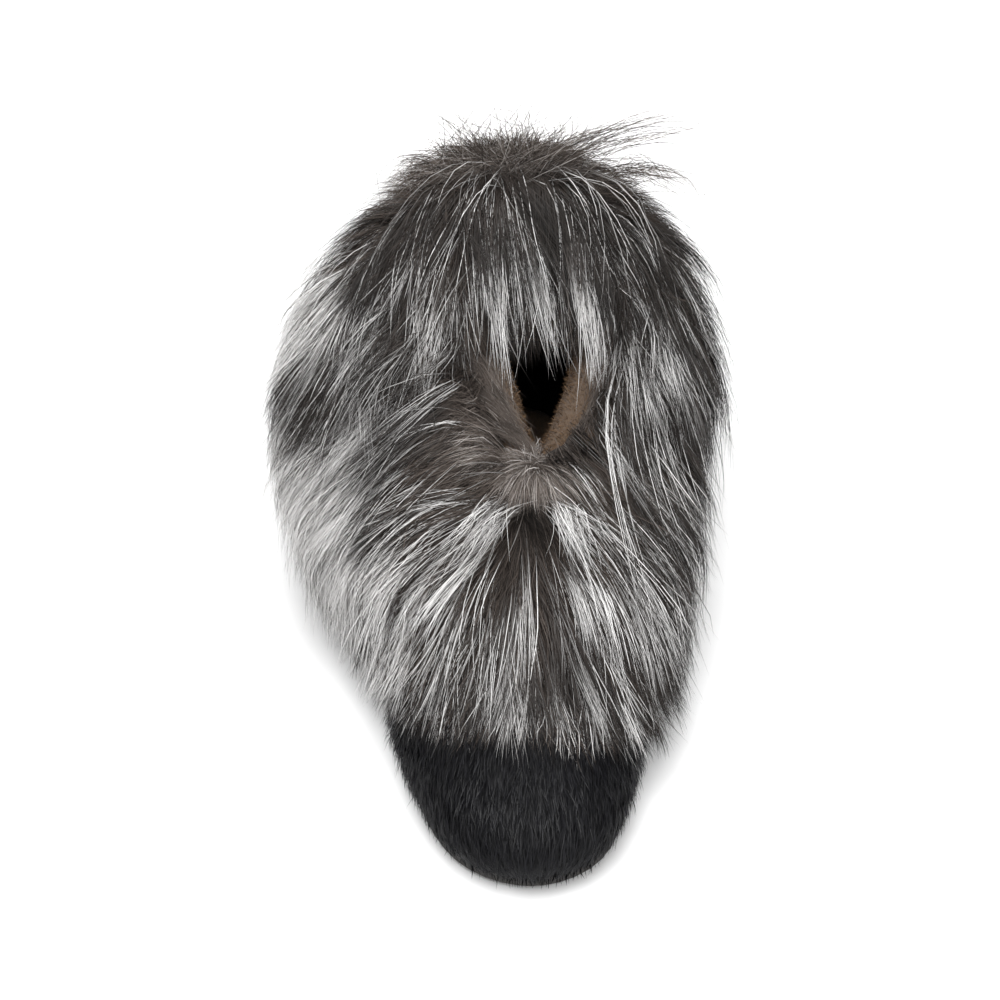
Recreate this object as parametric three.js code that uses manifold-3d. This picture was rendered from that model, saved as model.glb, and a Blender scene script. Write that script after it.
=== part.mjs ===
// A right-foot fur slipper: a low boot of short black hair hide on a thin flat sole, dressed from
// the vamp to the heel in a deep cuff of long silver fur that rolls over the collar and, from the crown
// at the back, falls forward over the opening.
// Millimetres, +Z up. The toe points to -Y and the inner side of the foot to +X.
// The origin lies on the floor, under the middle of the slipper's box.

import * as THREE from "three";
import { ParametricGeometry } from "three/addons/geometries/ParametricGeometry.js";
import { mergeVertices } from "three/addons/utils/BufferGeometryUtils.js";
import Module from "manifold-3d";

const wasm = await Module();
wasm.setup();

// Driving dimensions
const LENGTH = 256;
const BALL_WIDTH = 95;
const INSTEP_HEIGHT = 90;
const HEEL_HEIGHT = 114;
const WALL = 2.6;
const GAP = 0.3;

// Sole
const SOLE_THICKNESS = 5;
const SOLE_MARGIN = 0.8;
const SOLE_EDGE = 1.2;
const INSOLE_THICKNESS = 6;
const INSOLE_EDGE = 1.5;

// Upper: its foot is drawn in under the widest line, the shaft flares and the heel is curved
const TUCK = 4.5;
const TUCK_HEIGHT = 20;
const COLLAR_FLARE = 0.1;
const FLARE_FROM = 60;
const HEEL_CURVE = 7;
const HEEL_BULGE_HEIGHT = 38;
const HEEL_CURVE_FROM = 0.72;

// Fur: the cuff's sections fan out from a spine along the foot, from the throat to the ankle
const SPINE_FRONT = 120;
const SPINE_BACK = 210;
const HEM_DEPTH = 26;
const CORE_HEIGHT = 45;
const LOCK_SWEEP = 12;
const LOCK_SINK = 5;
const LOCK_WIDEST = 0.28;
const LOCK_PLACE_SPREAD = 0.25;
const LOCK_SWEEP_SPREAD = 3;
const LOCK_LENGTH_SPREAD = 0.12;
const WOBBLE_PER_LOCK = 7.3;
const WOBBLE_PER_ROW = 40;

// The fall's thickness at its crown and its tips, and how far its underside lies back
const FALL_CROWN_DEPTH = 17;
const FALL_TIP_DEPTH = 8;
const FALL_SLANT = 0.4;

// Fineness of the surfaces
const STATIONS = 34;
const ARCH_STEPS = 18;
const BASE_CROWDING = 1.8;
const CUFF_SECTIONS = 40;
const CUFF_STEPS = 10;
const SIMPLEST = 0.25;
const FALL_COLUMNS = 10;
const FALL_STEPS = 5;
const LOCK_SIDES = 4;
const LOCK_STEPS = 4;
const RIM_STEPS = 30;
const WELD = 1e-4;
const SLOPE_STEP = 1e-3;

// The last from toe to heel. share: part of the length. bend: the axis's shift to the inner side, mm.
// width: part of the ball width. ridge: part of the instep height. square: squareness of the section.
// lift: height of the sole's underside above the floor, mm.
const LAST = [
  { share: 0.00, bend: 5.0, width: 0.000, ridge: 0.20, square: 2.3, lift: 3.2 },
  { share: 0.02, bend: 4.6, width: 0.420, ridge: 0.34, square: 2.3, lift: 2.7 },
  { share: 0.05, bend: 4.2, width: 0.620, ridge: 0.41, square: 2.3, lift: 2.0 },
  { share: 0.10, bend: 3.4, width: 0.785, ridge: 0.48, square: 2.3, lift: 1.0 },
  { share: 0.17, bend: 2.2, width: 0.910, ridge: 0.54, square: 2.2, lift: 0.2 },
  { share: 0.25, bend: 1.0, width: 0.985, ridge: 0.61, square: 2.2, lift: 0.0 },
  { share: 0.31, bend: 0.3, width: 1.000, ridge: 0.67, square: 2.1, lift: 0.0 },
  { share: 0.40, bend: -0.8, width: 0.965, ridge: 0.80, square: 2.1, lift: 0.0 },
  { share: 0.46, bend: -1.5, width: 0.905, ridge: 0.92, square: 2.1, lift: 0.8 },
  { share: 0.50, bend: -1.8, width: 0.865, ridge: 1.02, square: 2.1, lift: 1.3 },
  { share: 0.54, bend: -2.0, width: 0.830, ridge: 1.155, square: 2.2, lift: 1.7 },
  { share: 0.58, bend: -2.0, width: 0.800, ridge: 1.345, square: 2.4, lift: 1.8 },
  { share: 0.62, bend: -1.8, width: 0.780, ridge: 1.67, square: 2.7, lift: 1.4 },
  { share: 0.67, bend: -1.5, width: 0.765, ridge: 2.10, square: 3.2, lift: 0.6 },
  { share: 0.75, bend: -1.0, width: 0.755, ridge: 2.40, square: 3.6, lift: 0.0 },
  { share: 0.83, bend: -0.5, width: 0.730, ridge: 2.40, square: 3.6, lift: 0.0 },
  { share: 0.90, bend: 0.0, width: 0.655, ridge: 2.40, square: 3.6, lift: 0.0 },
  { share: 0.95, bend: 0.2, width: 0.525, ridge: 2.40, square: 3.6, lift: 0.0 },
  { share: 0.98, bend: 0.3, width: 0.360, ridge: 2.40, square: 3.6, lift: 0.2 },
  { share: 1.00, bend: 0.3, width: 0.000, ridge: 2.40, square: 3.6, lift: 0.6 },
];

// The collar's rim, from below the throat to behind the heel. share: part of the length.
// height: part of the heel height.
const RIM = [
  { share: 0.42, height: 0.73 },
  { share: 0.485, height: 0.775 },
  { share: 0.525, height: 0.825 },
  { share: 0.585, height: 0.88 },
  { share: 0.68, height: 0.92 },
  { share: 0.80, height: 0.96 },
  { share: 0.92, height: 0.99 },
  { share: 1.10, height: 1.00 },
];

// The cuff's sections on one side of the foot. turn: degrees from the toe, 180 at the heel.
// lip, top, side, hem and tip: reach from the spine and height above the floor, mm.
// full: fullness of the fur on the outer and the inner side of the foot.
const CUFF = [
  {turn: 0, lip: [3, 88], top: [6, 92], side: [42, 78], hem: [74, 55], tip: [90, 49], full: [1, 1]},
  {turn: 20, lip: [3, 90], top: [7, 94], side: [46, 73], hem: [78, 45], tip: [92, 37], full: [1, 1.08]},
  {turn: 40, lip: [6, 93], top: [12, 99], side: [57, 66], hem: [76, 33], tip: [81, 23], full: [1, 1.2]},
  {turn: 60, lip: [15, 97], top: [24, 107], side: [71, 68], hem: [73, 28], tip: [72, 17], full: [1, 1.05]},
  {turn: 90, lip: [29, 107], top: [43, 121], side: [85, 80], hem: [74, 27], tip: [70, 15], full: [1.05, .74]},
  {turn: 120, lip: [29, 113], top: [48, 133], side: [90, 96], hem: [75, 26], tip: [70, 15], full: [.98, .78]},
  {turn: 150, lip: [24, 119], top: [44, 138], side: [84, 100], hem: [68, 25], tip: [64, 15], full: [1, 0.95]},
  {turn: 180, lip: [20, 121], top: [38, 139], side: [74, 96], hem: [62, 25], tip: [58, 15], full: [1, 1]},
];

// Rows of locks on the cuff, each lock lying along a section. start and length: parts of the way from
// top to hem. count: locks in the row. shift: turn of the row, in parts of a lock. cover: width of
// a lock in parts of its share of the row. depth: mm. rise: height of its tip above the fur, mm.
const LOCK_ROWS = [
  { start: 0.02, length: 0.54, count: 15, shift: 0.0, cover: 0.85, depth: 6, rise: 4 },
  { start: 0.24, length: 0.54, count: 18, shift: 0.5, cover: 0.85, depth: 6, rise: 5 },
  { start: 0.46, length: 0.54, count: 20, shift: 0.0, cover: 0.85, depth: 6, rise: 5 },
  { start: 0.70, length: 0.58, count: 24, shift: 0.5, cover: 0.85, depth: 6, rise: 2 },
];

// The fall: lines of fur that fan out from the crown and part round the opening. across: from -1, the outer
// edge, to 1, the inner edge. crown, brow, cheek and tip: mm across the foot, behind the toe and up.
const FALL = [
  {across: -1, crown: [-24, 248, 135], brow: [-44, 218, 136], cheek: [-55, 185, 123], tip: [-61, 148, 103]},
  {across: -0.5, crown: [-15, 252, 138], brow: [-28, 221, 139], cheek: [-35, 190, 127], tip: [-34, 153, 107]},
  {across: -0.15, crown: [-9, 254, 138], brow: [-15, 238, 141], cheek: [-20, 224, 140], tip: [-26, 215, 135]},
  {across: 0, crown: [-4, 254, 138], brow: [-3, 240, 141], cheek: [-2, 226, 141], tip: [0, 217, 136]},
  {across: 0.15, crown: [2, 254, 138], brow: [11, 238, 141], cheek: [19, 224, 140], tip: [26, 215, 135]},
  {across: 0.5, crown: [8, 252, 138], brow: [27, 222, 139], cheek: [35, 190, 126], tip: [38, 150, 106]},
  {across: 1, crown: [16, 248, 135], brow: [42, 218, 136], cheek: [56, 186, 122], tip: [63, 148, 103]},
];

// Rows of locks on the fall, as on the cuff. start and length: parts of the way from crown to tips.
// places: across the fall. step: a lock's share of the row.
const FALL_ROWS = [
  { start: 0.12, length: 0.55, places: [-0.8, -0.48, 0.48, 0.8], step: 0.32, cover: 0.85, depth: 4, rise: 0 },
  { start: 0.50, length: 0.48, places: [-0.9, -0.62, 0.62, 0.9], step: 0.28, cover: 0.85, depth: 4, rise: 1 },
  { start: 0.30, length: 0.65, places: [-0.11, -0.01, 0.1], step: 0.1, cover: 0.9, depth: 3, rise: 1 },
];

// Smooth reading of a table's columns between its rows.
function smoothTable(rows, place, columns) {
  const places = rows.map(place);
  const values = rows.flatMap((row) => columns.map((column) => row[column]).flat());
  const width = values.length / rows.length;
  const curve = new THREE.CubicInterpolant(places, values, width, new Float64Array(width));
  return (at) => Array.from(curve.evaluate(at));
}

// Stations crowd together at the toe and the heel, so that both ends come out round.
const stationOf = (share) => Math.acos(1 - 2 * share) / Math.PI;
const alongOf = (station) => LENGTH * (1 - Math.cos(Math.PI * station)) / 2;
const lastColumns = ["bend", "width", "ridge", "square", "lift"];
const readLast = smoothTable(LAST, (row) => stationOf(row.share), lastColumns);

function lastAt(station) {
  const [bend, width, ridge, square, lift] = readLast(station);
  const half = width * BALL_WIDTH / 2;
  return { bend, half, ridge: ridge * INSTEP_HEIGHT, square, lift: Math.max(0, lift) };
}

const soleTop = (station) => lastAt(station).lift + SOLE_THICKNESS;

// Moves a point of the curve (along, value) outward by grow, square to the curve.
function offsetCurve(value, station, grow) {
  const before = station - SLOPE_STEP;
  const after = station + SLOPE_STEP;
  const run = alongOf(after) - alongOf(before);
  const climb = value(after) - value(before);
  const size = Math.hypot(run, climb) || 1;
  const end = value(station);
  return { shift: -grow * climb / size, value: end + grow * run / size };
}

const halfAt = (station) => lastAt(station).half;
const ridgeAt = (station) => lastAt(station).ridge;

// The heel bulges at a third of its height and draws in above and below.
function heelCurved(along, height) {
  const bow = ((height - HEEL_BULGE_HEIGHT) / (HEEL_HEIGHT - HEEL_BULGE_HEIGHT)) ** 2;
  return along - HEEL_CURVE * bow * THREE.MathUtils.smoothstep(along / LENGTH, HEEL_CURVE_FROM, 1);
}

// One point of the last's skin, grown by grow. across runs from -1, the outer foot, over the ridge at 0
// to 1, the inner foot.
function lastPoint(station, across, grow) {
  const { bend, square } = lastAt(station);
  const angle = Math.PI / 2 * (1 - Math.abs(across)) ** BASE_CROWDING;
  const rise = Math.sin(angle) ** (2 / square);
  const spread = Math.cos(angle) ** (2 / square);
  const foot = soleTop(station) + GAP;
  const ridge = offsetCurve(ridgeAt, station, grow);
  const height = foot + (ridge.value - foot) * rise;
  const drawIn = TUCK * Math.max(0, 1 - (height - foot) / TUCK_HEIGHT) ** 2;
  const edge = offsetCurve(halfAt, station, grow - drawIn);
  const flare = 1 + COLLAR_FLARE * THREE.MathUtils.smoothstep(height, FLARE_FROM, HEEL_HEIGHT);
  const crown = Math.abs(ridge.shift) > Math.abs(edge.shift) ? ridge.shift : edge.shift;
  const along = alongOf(station) + THREE.MathUtils.lerp(edge.shift, crown, rise);
  const half = edge.value * spread * flare;
  return new THREE.Vector3(bend + Math.sign(across) * half, heelCurved(along, height), height);
}

// A closed solid from a surface whose ends meet or shrink to a line or a point.
function solidFrom(geometry) {
  geometry.deleteAttribute("normal");
  geometry.deleteAttribute("uv");
  const welded = mergeVertices(geometry, WELD);
  const corners = welded.index.array;
  const triangles = [];
  for (let i = 0; i < corners.length; i += 3) {
    const [a, b, c] = corners.slice(i, i + 3);
    if (a !== b && b !== c && c !== a) triangles.push(a, b, c);
  }
  const vertProperties = welded.attributes.position.array;
  const solid = (list) => new wasm.Manifold(
    new wasm.Mesh({ numProp: 3, vertProperties, triVerts: new Uint32Array(list) }));
  const first = solid(triangles);
  return first.volume() > 0 ? first : solid(triangles.reverse());
}

// Joins loops of points, one loop a station, into a closed solid.
function loftLoops(loopAt, corners, steps) {
  const place = (u, v, target) => {
    const loop = loopAt(v);
    target.copy(loop[Math.round(u * corners) % corners]);
  };
  return solidFrom(new ParametricGeometry(place, corners, steps));
}

// The same, with both end loops closed by flat caps.
function cappedLoft(loopAt, corners, steps) {
  const wide = (v) => {
    const at = THREE.MathUtils.clamp((v * (steps + 2) - 1) / steps, 0, 1);
    const loop = loopAt(at);
    if (v > 0 && v < 1) return loop;
    const middle = new THREE.Vector3();
    for (const corner of loop) middle.addScaledVector(corner, 1 / corners);
    return loop.map(() => middle);
  };
  return loftLoops(wide, corners, steps + 2);
}

// The foot's form up to a fictive shaft, with a skirt below its foot line.
function footForm(grow, skirt) {
  const loopAt = (station) => {
    const arch = [];
    for (let i = 0; i <= ARCH_STEPS; i++) {
      arch.push(lastPoint(station, 2 * i / ARCH_STEPS - 1, grow));
    }
    const drop = new THREE.Vector3(0, 0, -skirt);
    return [arch[0].clone().add(drop), ...arch, arch[ARCH_STEPS].clone().add(drop)];
  };
  return loftLoops(loopAt, ARCH_STEPS + 3, STATIONS);
}

// Everything above the collar's rim.
function aboveRim(raise) {
  const rim = RIM.map((row) => new THREE.Vector2(row.share * LENGTH, row.height * HEEL_HEIGHT + raise));
  const sky = 4 * HEEL_HEIGHT;
  const shape = new THREE.Shape();
  shape.moveTo(rim[0].x, rim[0].y);
  shape.splineThru(rim.slice(1));
  shape.lineTo(rim.at(-1).x, sky);
  shape.lineTo(rim[0].x, sky);
  const block = new THREE.ExtrudeGeometry(shape, {
    depth: 3 * BALL_WIDTH, bevelEnabled: false, curveSegments: RIM_STEPS / (RIM.length - 1),
  });
  block.translate(0, 0, -1.5 * BALL_WIDTH);
  const acrossFoot = new THREE.Matrix4().makeBasis(
    new THREE.Vector3(0, 1, 0), new THREE.Vector3(0, 0, 1), new THREE.Vector3(1, 0, 0));
  return solidFrom(block.applyMatrix4(acrossFoot));
}

function makeUpper() {
  return footForm(0, 0).subtract(footForm(-WALL, TUCK_HEIGHT)).subtract(aboveRim(0));
}

// A flat layer under the foot, with its lower or upper edge eased off.
function footLayer(margin, bottom, top, lowEase, highEase) {
  const loopAt = (station) => {
    const { bend } = lastAt(station);
    const side = (inset, height) => {
      const edge = offsetCurve(halfAt, station, margin);
      const half = Math.max(0, edge.value - Math.min(inset, edge.value / 2));
      return { half, along: heelCurved(alongOf(station) + edge.shift, height), height };
    };
    const low = bottom(station);
    const high = top(station);
    const profile = [
      side(lowEase, low), side(0, low + lowEase), side(0, high - highEase), side(highEase, high)];
    const outer = profile.map((p) => new THREE.Vector3(bend - p.half, p.along, p.height));
    const inner = profile.map((p) => new THREE.Vector3(bend + p.half, p.along, p.height));
    return [...outer, ...inner.reverse()];
  };
  return loftLoops(loopAt, 8, STATIONS);
}

const makeOutsole = () => footLayer(
  SOLE_MARGIN - TUCK, (s) => lastAt(s).lift, soleTop, SOLE_EDGE, 0);

const makeInsole = () => footLayer(
  -TUCK - WALL - GAP, (s) => soleTop(s) + GAP, (s) => soleTop(s) + GAP + INSOLE_THICKNESS, 0, INSOLE_EDGE);

// The cuff's table is mirrored to the other half turn, so that it reads smoothly all the way round.
const cuffColumns = ["lip", "top", "side", "hem", "tip", "full"];
const mirrored = CUFF.slice(1).map((row) => ({ ...row, turn: -row.turn })).reverse();
const readCuff = smoothTable([...mirrored, ...CUFF], (row) => row.turn, cuffColumns);

// The fur's profile at a turn, in reach and height: lip, top, side, hem and tip.
function cuffProfile(turn) {
  const row = readCuff(THREE.MathUtils.euclideanModulo(turn + 180, 360) - 180);
  const [outerFullness, innerFullness] = row.splice(-2);
  const fullness = Math.sin(THREE.MathUtils.degToRad(turn)) < 0 ? outerFullness : innerFullness;
  const points = [];
  while (row.length) points.push(new THREE.Vector2(...row.splice(0, 2)));
  const [, top, ...outside] = points;
  for (const point of outside) point.x = top.x + (point.x - top.x) * fullness;
  return points;
}

// Places a point of a cuff section, given by its reach and height.
function cuffPlace(turn, point) {
  const angle = THREE.MathUtils.degToRad(turn);
  const middle = (SPINE_FRONT + SPINE_BACK) / 2;
  const spine = (SPINE_BACK - SPINE_FRONT) / 2;
  const along = middle - (spine + point.x) * Math.cos(angle);
  return new THREE.Vector3(point.x * Math.sin(angle), along, point.y);
}

// A point on the fur's outside: way 0 at the top, 1 at the hem, more past it towards the tips.
function furPoint(turn, way) {
  const outside = new THREE.SplineCurve(cuffProfile(turn));
  return cuffPlace(turn, outside.getPoint((1 + 2 * way) / 4));
}

// The cuff's bulk: a ring of closed sections, whose core lies inside the foot.
function cuffRing() {
  const loopAt = (round) => {
    const turn = 360 * (round % 1);
    const points = cuffProfile(turn);
    const outside = new THREE.SplineCurve(points);
    const loop = [];
    for (let i = 0; i <= CUFF_STEPS; i++) {
      loop.push(cuffPlace(turn, outside.getPoint(0.75 * i / CUFF_STEPS)));
    }
    const hem = points[3];
    loop.push(cuffPlace(turn, new THREE.Vector2(Math.max(hem.x - HEM_DEPTH, 0), hem.y)));
    loop.push(cuffPlace(turn, new THREE.Vector2(points[0].x / 2, CORE_HEIGHT)));
    return loop;
  };
  return loftLoops(loopAt, CUFF_STEPS + 3, CUFF_SECTIONS);
}

// One lock: a flat tapered tuft that follows a surface of the fur and lifts off it at its tip.
// surface: point at a place round and a way down. root, sweep: its place, and how far it moves to its tip.
function furLock(surface, row, root, sweep, step, stretch) {
  const middle = row.start + row.length / 2;
  const room = surface(root - step / 2, middle).distanceTo(surface(root + step / 2, middle));
  const place = (u, v, target) => {
    const round = root + sweep * v;
    const way = row.start + row.length * stretch * v;
    const spine = surface(round, way);
    const onward = surface(round + sweep * SLOPE_STEP, way + SLOPE_STEP).sub(spine).normalize();
    const beside = surface(round + step * SLOPE_STEP, way).sub(spine).normalize();
    const outward = new THREE.Vector3().crossVectors(beside, onward).normalize();
    beside.crossVectors(onward, outward);
    const swell = v < LOCK_WIDEST ? Math.sqrt(v / LOCK_WIDEST) : (1 - v) / (1 - LOCK_WIDEST);
    const angle = 2 * Math.PI * u;
    target.copy(spine).addScaledVector(outward, (row.rise + LOCK_SINK) * v - LOCK_SINK);
    target.addScaledVector(beside, Math.cos(angle) * swell * row.cover * room / 2);
    target.addScaledVector(outward, Math.sin(angle) * swell * row.depth);
  };
  return solidFrom(new ParametricGeometry(place, LOCK_SIDES, LOCK_STEPS));
}

// Locks all round the cuff, swept towards the toe.
function cuffLocks() {
  return LOCK_ROWS.flatMap((row) => Array.from({ length: row.count }, (_, index) => {
    const step = 360 / row.count;
    const wobble = Math.sin(WOBBLE_PER_LOCK * index + WOBBLE_PER_ROW * row.start);
    const root = (index + row.shift + LOCK_PLACE_SPREAD * wobble) * step;
    const sweep = LOCK_SWEEP_SPREAD * wobble - LOCK_SWEEP * Math.sin(THREE.MathUtils.degToRad(root));
    return furLock(furPoint, row, root, sweep, step, 1 + LOCK_LENGTH_SPREAD * wobble);
  }));
}

// A point on the fall's outside: across from -1 to 1, way 0 at the crown and 1 at the tips.
const readFall = smoothTable(FALL, (row) => row.across, ["crown", "brow", "cheek", "tip"]);
function fallPoint(across, way) {
  const line = readFall(across);
  const points = [];
  while (line.length) points.push(new THREE.Vector3(...line.splice(0, 3)));
  const curve = new THREE.CatmullRomCurve3(points, false, "catmullrom");
  const beyond = Math.max(0, way - 1) * (points.length - 1);
  return curve.getPoint(Math.min(way, 1)).addScaledVector(points.at(-1).sub(points.at(-2)), beyond);
}

// The fall's bulk: a sheet of fur that thins from the crown to the tips.
function fallSheet() {
  const loopAt = (round) => {
    const across = 2 * round - 1;
    const over = [];
    const under = [];
    for (let i = 0; i <= FALL_STEPS; i++) {
      const way = i / FALL_STEPS;
      const depth = THREE.MathUtils.lerp(FALL_CROWN_DEPTH, FALL_TIP_DEPTH, way);
      const point = fallPoint(across, way);
      over.push(point);
      under.push(point.clone().add(new THREE.Vector3(0, FALL_SLANT * depth, -depth)));
    }
    return [...over, ...under.reverse()];
  };
  return cappedLoft(loopAt, 2 * FALL_STEPS + 2, FALL_COLUMNS);
}

// Locks on both sides of the fall.
function fallLocks() {
  return FALL_ROWS.flatMap((row) => row.places.map((root) => furLock(fallPoint, row, root, 0, row.step, 1)));
}

function makeCuff() {
  const fur = wasm.Manifold.union([cuffRing(), ...cuffLocks(), fallSheet(), ...fallLocks()]);
  return fur.simplify(SIMPLEST).subtract(footForm(GAP, TUCK_HEIGHT).subtract(aboveRim(GAP)));
}

function mesh(name, solid, finish) {
  const { vertProperties, triVerts } = solid.getMesh();
  const geometry = new THREE.BufferGeometry();
  geometry.setAttribute("position", new THREE.BufferAttribute(vertProperties, 3));
  geometry.setIndex(new THREE.BufferAttribute(triVerts, 1));
  geometry.computeVertexNormals();
  const body = new THREE.Mesh(geometry, new THREE.MeshStandardMaterial(finish));
  body.name = name;
  return body;
}

const slipper = new THREE.Group();
slipper.add(mesh("outsole", makeOutsole(), { color: 0x2a2724, roughness: 0.85, metalness: 0 }));
slipper.add(mesh("insole", makeInsole(), { color: 0x6a5444, roughness: 0.95, metalness: 0 }));
slipper.add(mesh("upper", makeUpper(), { color: 0x14141a, roughness: 0.6, metalness: 0 }));
slipper.add(mesh("fur_cuff", makeCuff(), { color: 0x8d8680, roughness: 0.9, metalness: 0 }));

const box = new THREE.Box3().setFromObject(slipper);
const centre = box.getCenter(new THREE.Vector3());
slipper.position.set(-centre.x, -centre.y, -box.min.z);

export default slipper;
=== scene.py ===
"""Dresses a right-foot fur slipper: black hair hide, plush lining, thin sole and a cuff of silver fur."""

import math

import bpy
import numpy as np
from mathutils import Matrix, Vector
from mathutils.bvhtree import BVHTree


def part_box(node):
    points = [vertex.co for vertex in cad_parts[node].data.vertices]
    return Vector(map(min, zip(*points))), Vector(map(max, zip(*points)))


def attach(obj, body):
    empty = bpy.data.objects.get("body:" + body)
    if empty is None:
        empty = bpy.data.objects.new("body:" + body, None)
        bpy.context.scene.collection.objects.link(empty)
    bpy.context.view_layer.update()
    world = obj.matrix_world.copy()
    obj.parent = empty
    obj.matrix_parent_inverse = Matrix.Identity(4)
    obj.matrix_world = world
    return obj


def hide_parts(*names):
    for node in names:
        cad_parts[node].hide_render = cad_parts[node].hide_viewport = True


bl_info = {
    "name": "Fur Slipper",
    "version": (1, 0, 0),
    "blender": (4, 5, 0),
    "location": "3D View > Sidebar > Slipper",
    "description": "Gives the solids of a fur slipper their hair, lining, sole and stage",
    "category": "Object",
}

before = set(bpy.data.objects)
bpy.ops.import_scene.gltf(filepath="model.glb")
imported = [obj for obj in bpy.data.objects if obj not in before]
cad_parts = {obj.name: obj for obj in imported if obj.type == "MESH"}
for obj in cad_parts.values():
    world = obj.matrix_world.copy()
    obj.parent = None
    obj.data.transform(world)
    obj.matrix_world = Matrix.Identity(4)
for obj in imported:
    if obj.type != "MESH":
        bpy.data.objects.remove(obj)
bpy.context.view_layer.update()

# Places that come from the frame. The last's length runs from the toe to the heel's bulge. The tables give mm
# from the origin: across the foot, behind the toe and above the floor.
MM = 0.001
LAST_LENGTH = 256 * MM
BALL_BEND = 0.3 * MM
UPPER_LOW, UPPER_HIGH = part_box("upper")
TOE_Y = UPPER_HIGH.y - LAST_LENGTH
AXIS_X = (UPPER_LOW.x + UPPER_HIGH.x) / 2 - BALL_BEND
ORIGIN = np.array([AXIS_X, TOE_Y, 0])
UP = np.array([0, 0, 1.0])
FLOOR_CLEAR = 0.6 * MM

# The cuff fans out from a spine along the foot, from the throat to the ankle, mm behind the toe.
SPINE_FRONT = 120
SPINE_BACK = 210

# The cuff's sections on one side of the foot. Each row: the turn, in degrees from the toe, 180 at the heel;
# lip, top, side, hem and tip, as reach from the spine and height above the floor, mm; and the fullness of the
# fur on the outer and the inner side of the foot.
CUFF = [
    (0, (3, 88), (6, 92), (42, 78), (74, 55), (90, 49), (1, 1)),
    (20, (3, 90), (7, 94), (46, 73), (78, 45), (92, 37), (1, 1.08)),
    (40, (6, 93), (12, 99), (57, 66), (76, 33), (81, 23), (1, 1.2)),
    (60, (15, 97), (24, 107), (71, 68), (73, 28), (72, 17), (1, 1.05)),
    (90, (29, 107), (43, 121), (85, 80), (74, 27), (70, 15), (1.05, 0.74)),
    (120, (29, 113), (48, 133), (90, 96), (75, 26), (70, 15), (0.98, 0.78)),
    (150, (24, 119), (44, 138), (84, 100), (68, 25), (64, 15), (1, 0.95)),
    (180, (20, 121), (38, 139), (74, 96), (62, 25), (58, 15), (1, 1)),
]
LIP, TOP, SIDE, HEM, TIP = range(5)

# How far the fur's lip leans in over the opening, mm, by turn: on the outer and the inner side of the foot.
SPILL = {
    0: (0, 0), 20: (4, -2), 40: (13, -6), 60: (17, -8), 90: (24, -7), 120: (16, -3), 150: (4, 0), 180: (0, 0)}

# How the outer coat's hairs lean towards the toe, degrees. Each row: the turn, then the lean at the top of
# the cuff and lower down, on the outer and on the inner side of the foot.
SWING = [
    (0, (-6, 0), (0, 0)),
    (25, (-20, 2), (2, 4)),
    (45, (-28, 6), (5, 8)),
    (65, (0, 8), (25, 10)),
    (90, (55, 14), (75, 18)),
    (120, (85, 30), (90, 45)),
    (140, (76, 26), (80, 35)),
    (160, (50, 15), (50, 20)),
    (180, (0, 0), (0, 0)),
]
SWING_BACK = (115, 150)
SWING_TOP = (0.15, 0.6)
SWING_TOP_BACK = (0.0, 0.3)

# The fall: fur that fans out from the crown at the back and hangs over the opening. Each row is a line of
# hair from behind the crown forward, by its place across the fall.
FALL = {
    -1.0: [(-24, 261, 125), (-39, 237, 135), (-54, 206, 130), (-64, 174, 117), (-72, 140, 101)],
    -0.5: [(-14, 265, 129), (-22, 242, 140), (-31, 208, 136), (-36, 180, 125), (-39, 147, 110)],
    0.0: [(-6, 266, 130), (-5, 246, 141), (-1, 214, 137), (5, 190, 119), (9, 168, 98)],
    0.5: [(4, 265, 129), (17, 242, 140), (30, 208, 135), (38, 180, 123), (44, 147, 109)],
    1.0: [(16, 261, 125), (34, 237, 135), (51, 206, 129), (61, 175, 116), (67, 142, 100)],
}

# Where the locks of the outer coat end, as a way, by turn.
COAT_ENDS = {-90: 1.5, -65: 1.68, -35: 1.68, -15: 1.48, 0: 1.57, 9: 1.68, 18: 1.55, 40: 1.7, 60: 1.7, 90: 1.5}

# Where the fall's locks end, as a way, by place across it: long and short tufts in turn.
FALL_ENDS = {
    -1.0: 1.15, -0.65: 1.25, -0.45: 1.3, -0.3: 1.08, -0.16: 1.16, -0.06: 0.88,
    0.06: 0.98, 0.14: 0.86, 0.26: 1.12, 0.4: 1.15, 0.6: 1.2, 1.0: 1.15}

# How silver the fur is, as soft zones seen from the camera's side. Each row: the middle, across the foot and
# up the view, the half width and half height, mm, and what the zone adds to the share of white hair.
SILVER_BASE = 0.14
SILVER_BACK = 0.3
SILVER_ZONES = [
    (-90, 226, 21, 28, 1.0), (-90, 145, 28, 42, 1.0), (-57, 100, 24, 26, 0.64), (10, 76, 62, 15, 0.1),
    (12, 221, 10, 15, 0.85), (0, 262, 52, 30, -0.44), (-16, 119, 24, 16, 0.6), (18, 111, 26, 14, 0.36),
    (-20, 183, 18, 12, -0.25), (26, 212, 7, 22, 0.7), (-7, 207, 6, 17, 0.65), (-16, 140, 19, 14, 0.6),
    (23, 148, 10, 18, 0.6), (55, 128, 20, 38, 0.08), (44, 258, 9, 20, 0.15), (-42, 205, 20, 22, 0.12),
    # The row at (25, 254) takes white hair out of a valley between locks: painted shade.
    (53, 200, 18, 20, 0.12), (-84, 191, 12, 7, -1.3), (25, 254, 12, 20, -0.8), (6, 144, 5, 16, -1.1),
]

# How pale the wool is, in the same way: palest beside the throat.
WOOL_BASE = 0.34
WOOL_ZONES = [
    (-14, 174, 20, 13, 0.28), (30, 180, 14, 12, 0.15), (-92, 224, 17, 26, 0.65), (-90, 140, 28, 44, 1.1),
    (-60, 96, 22, 24, 0.36), (10, 72, 60, 10, 0.15), (3, 256, 32, 28, -0.34), (-84, 191, 12, 8, -1.0),
    # The rows at (25, 254) and (8, 212) are painted shade: they darken the wool in a valley between locks and
    # under the tufts, where the slit's shadow falls.
    (25, 254, 12, 20, -0.35), (8, 212, 18, 12, -0.3), (6, 148, 8, 14, -0.3),
]

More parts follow.
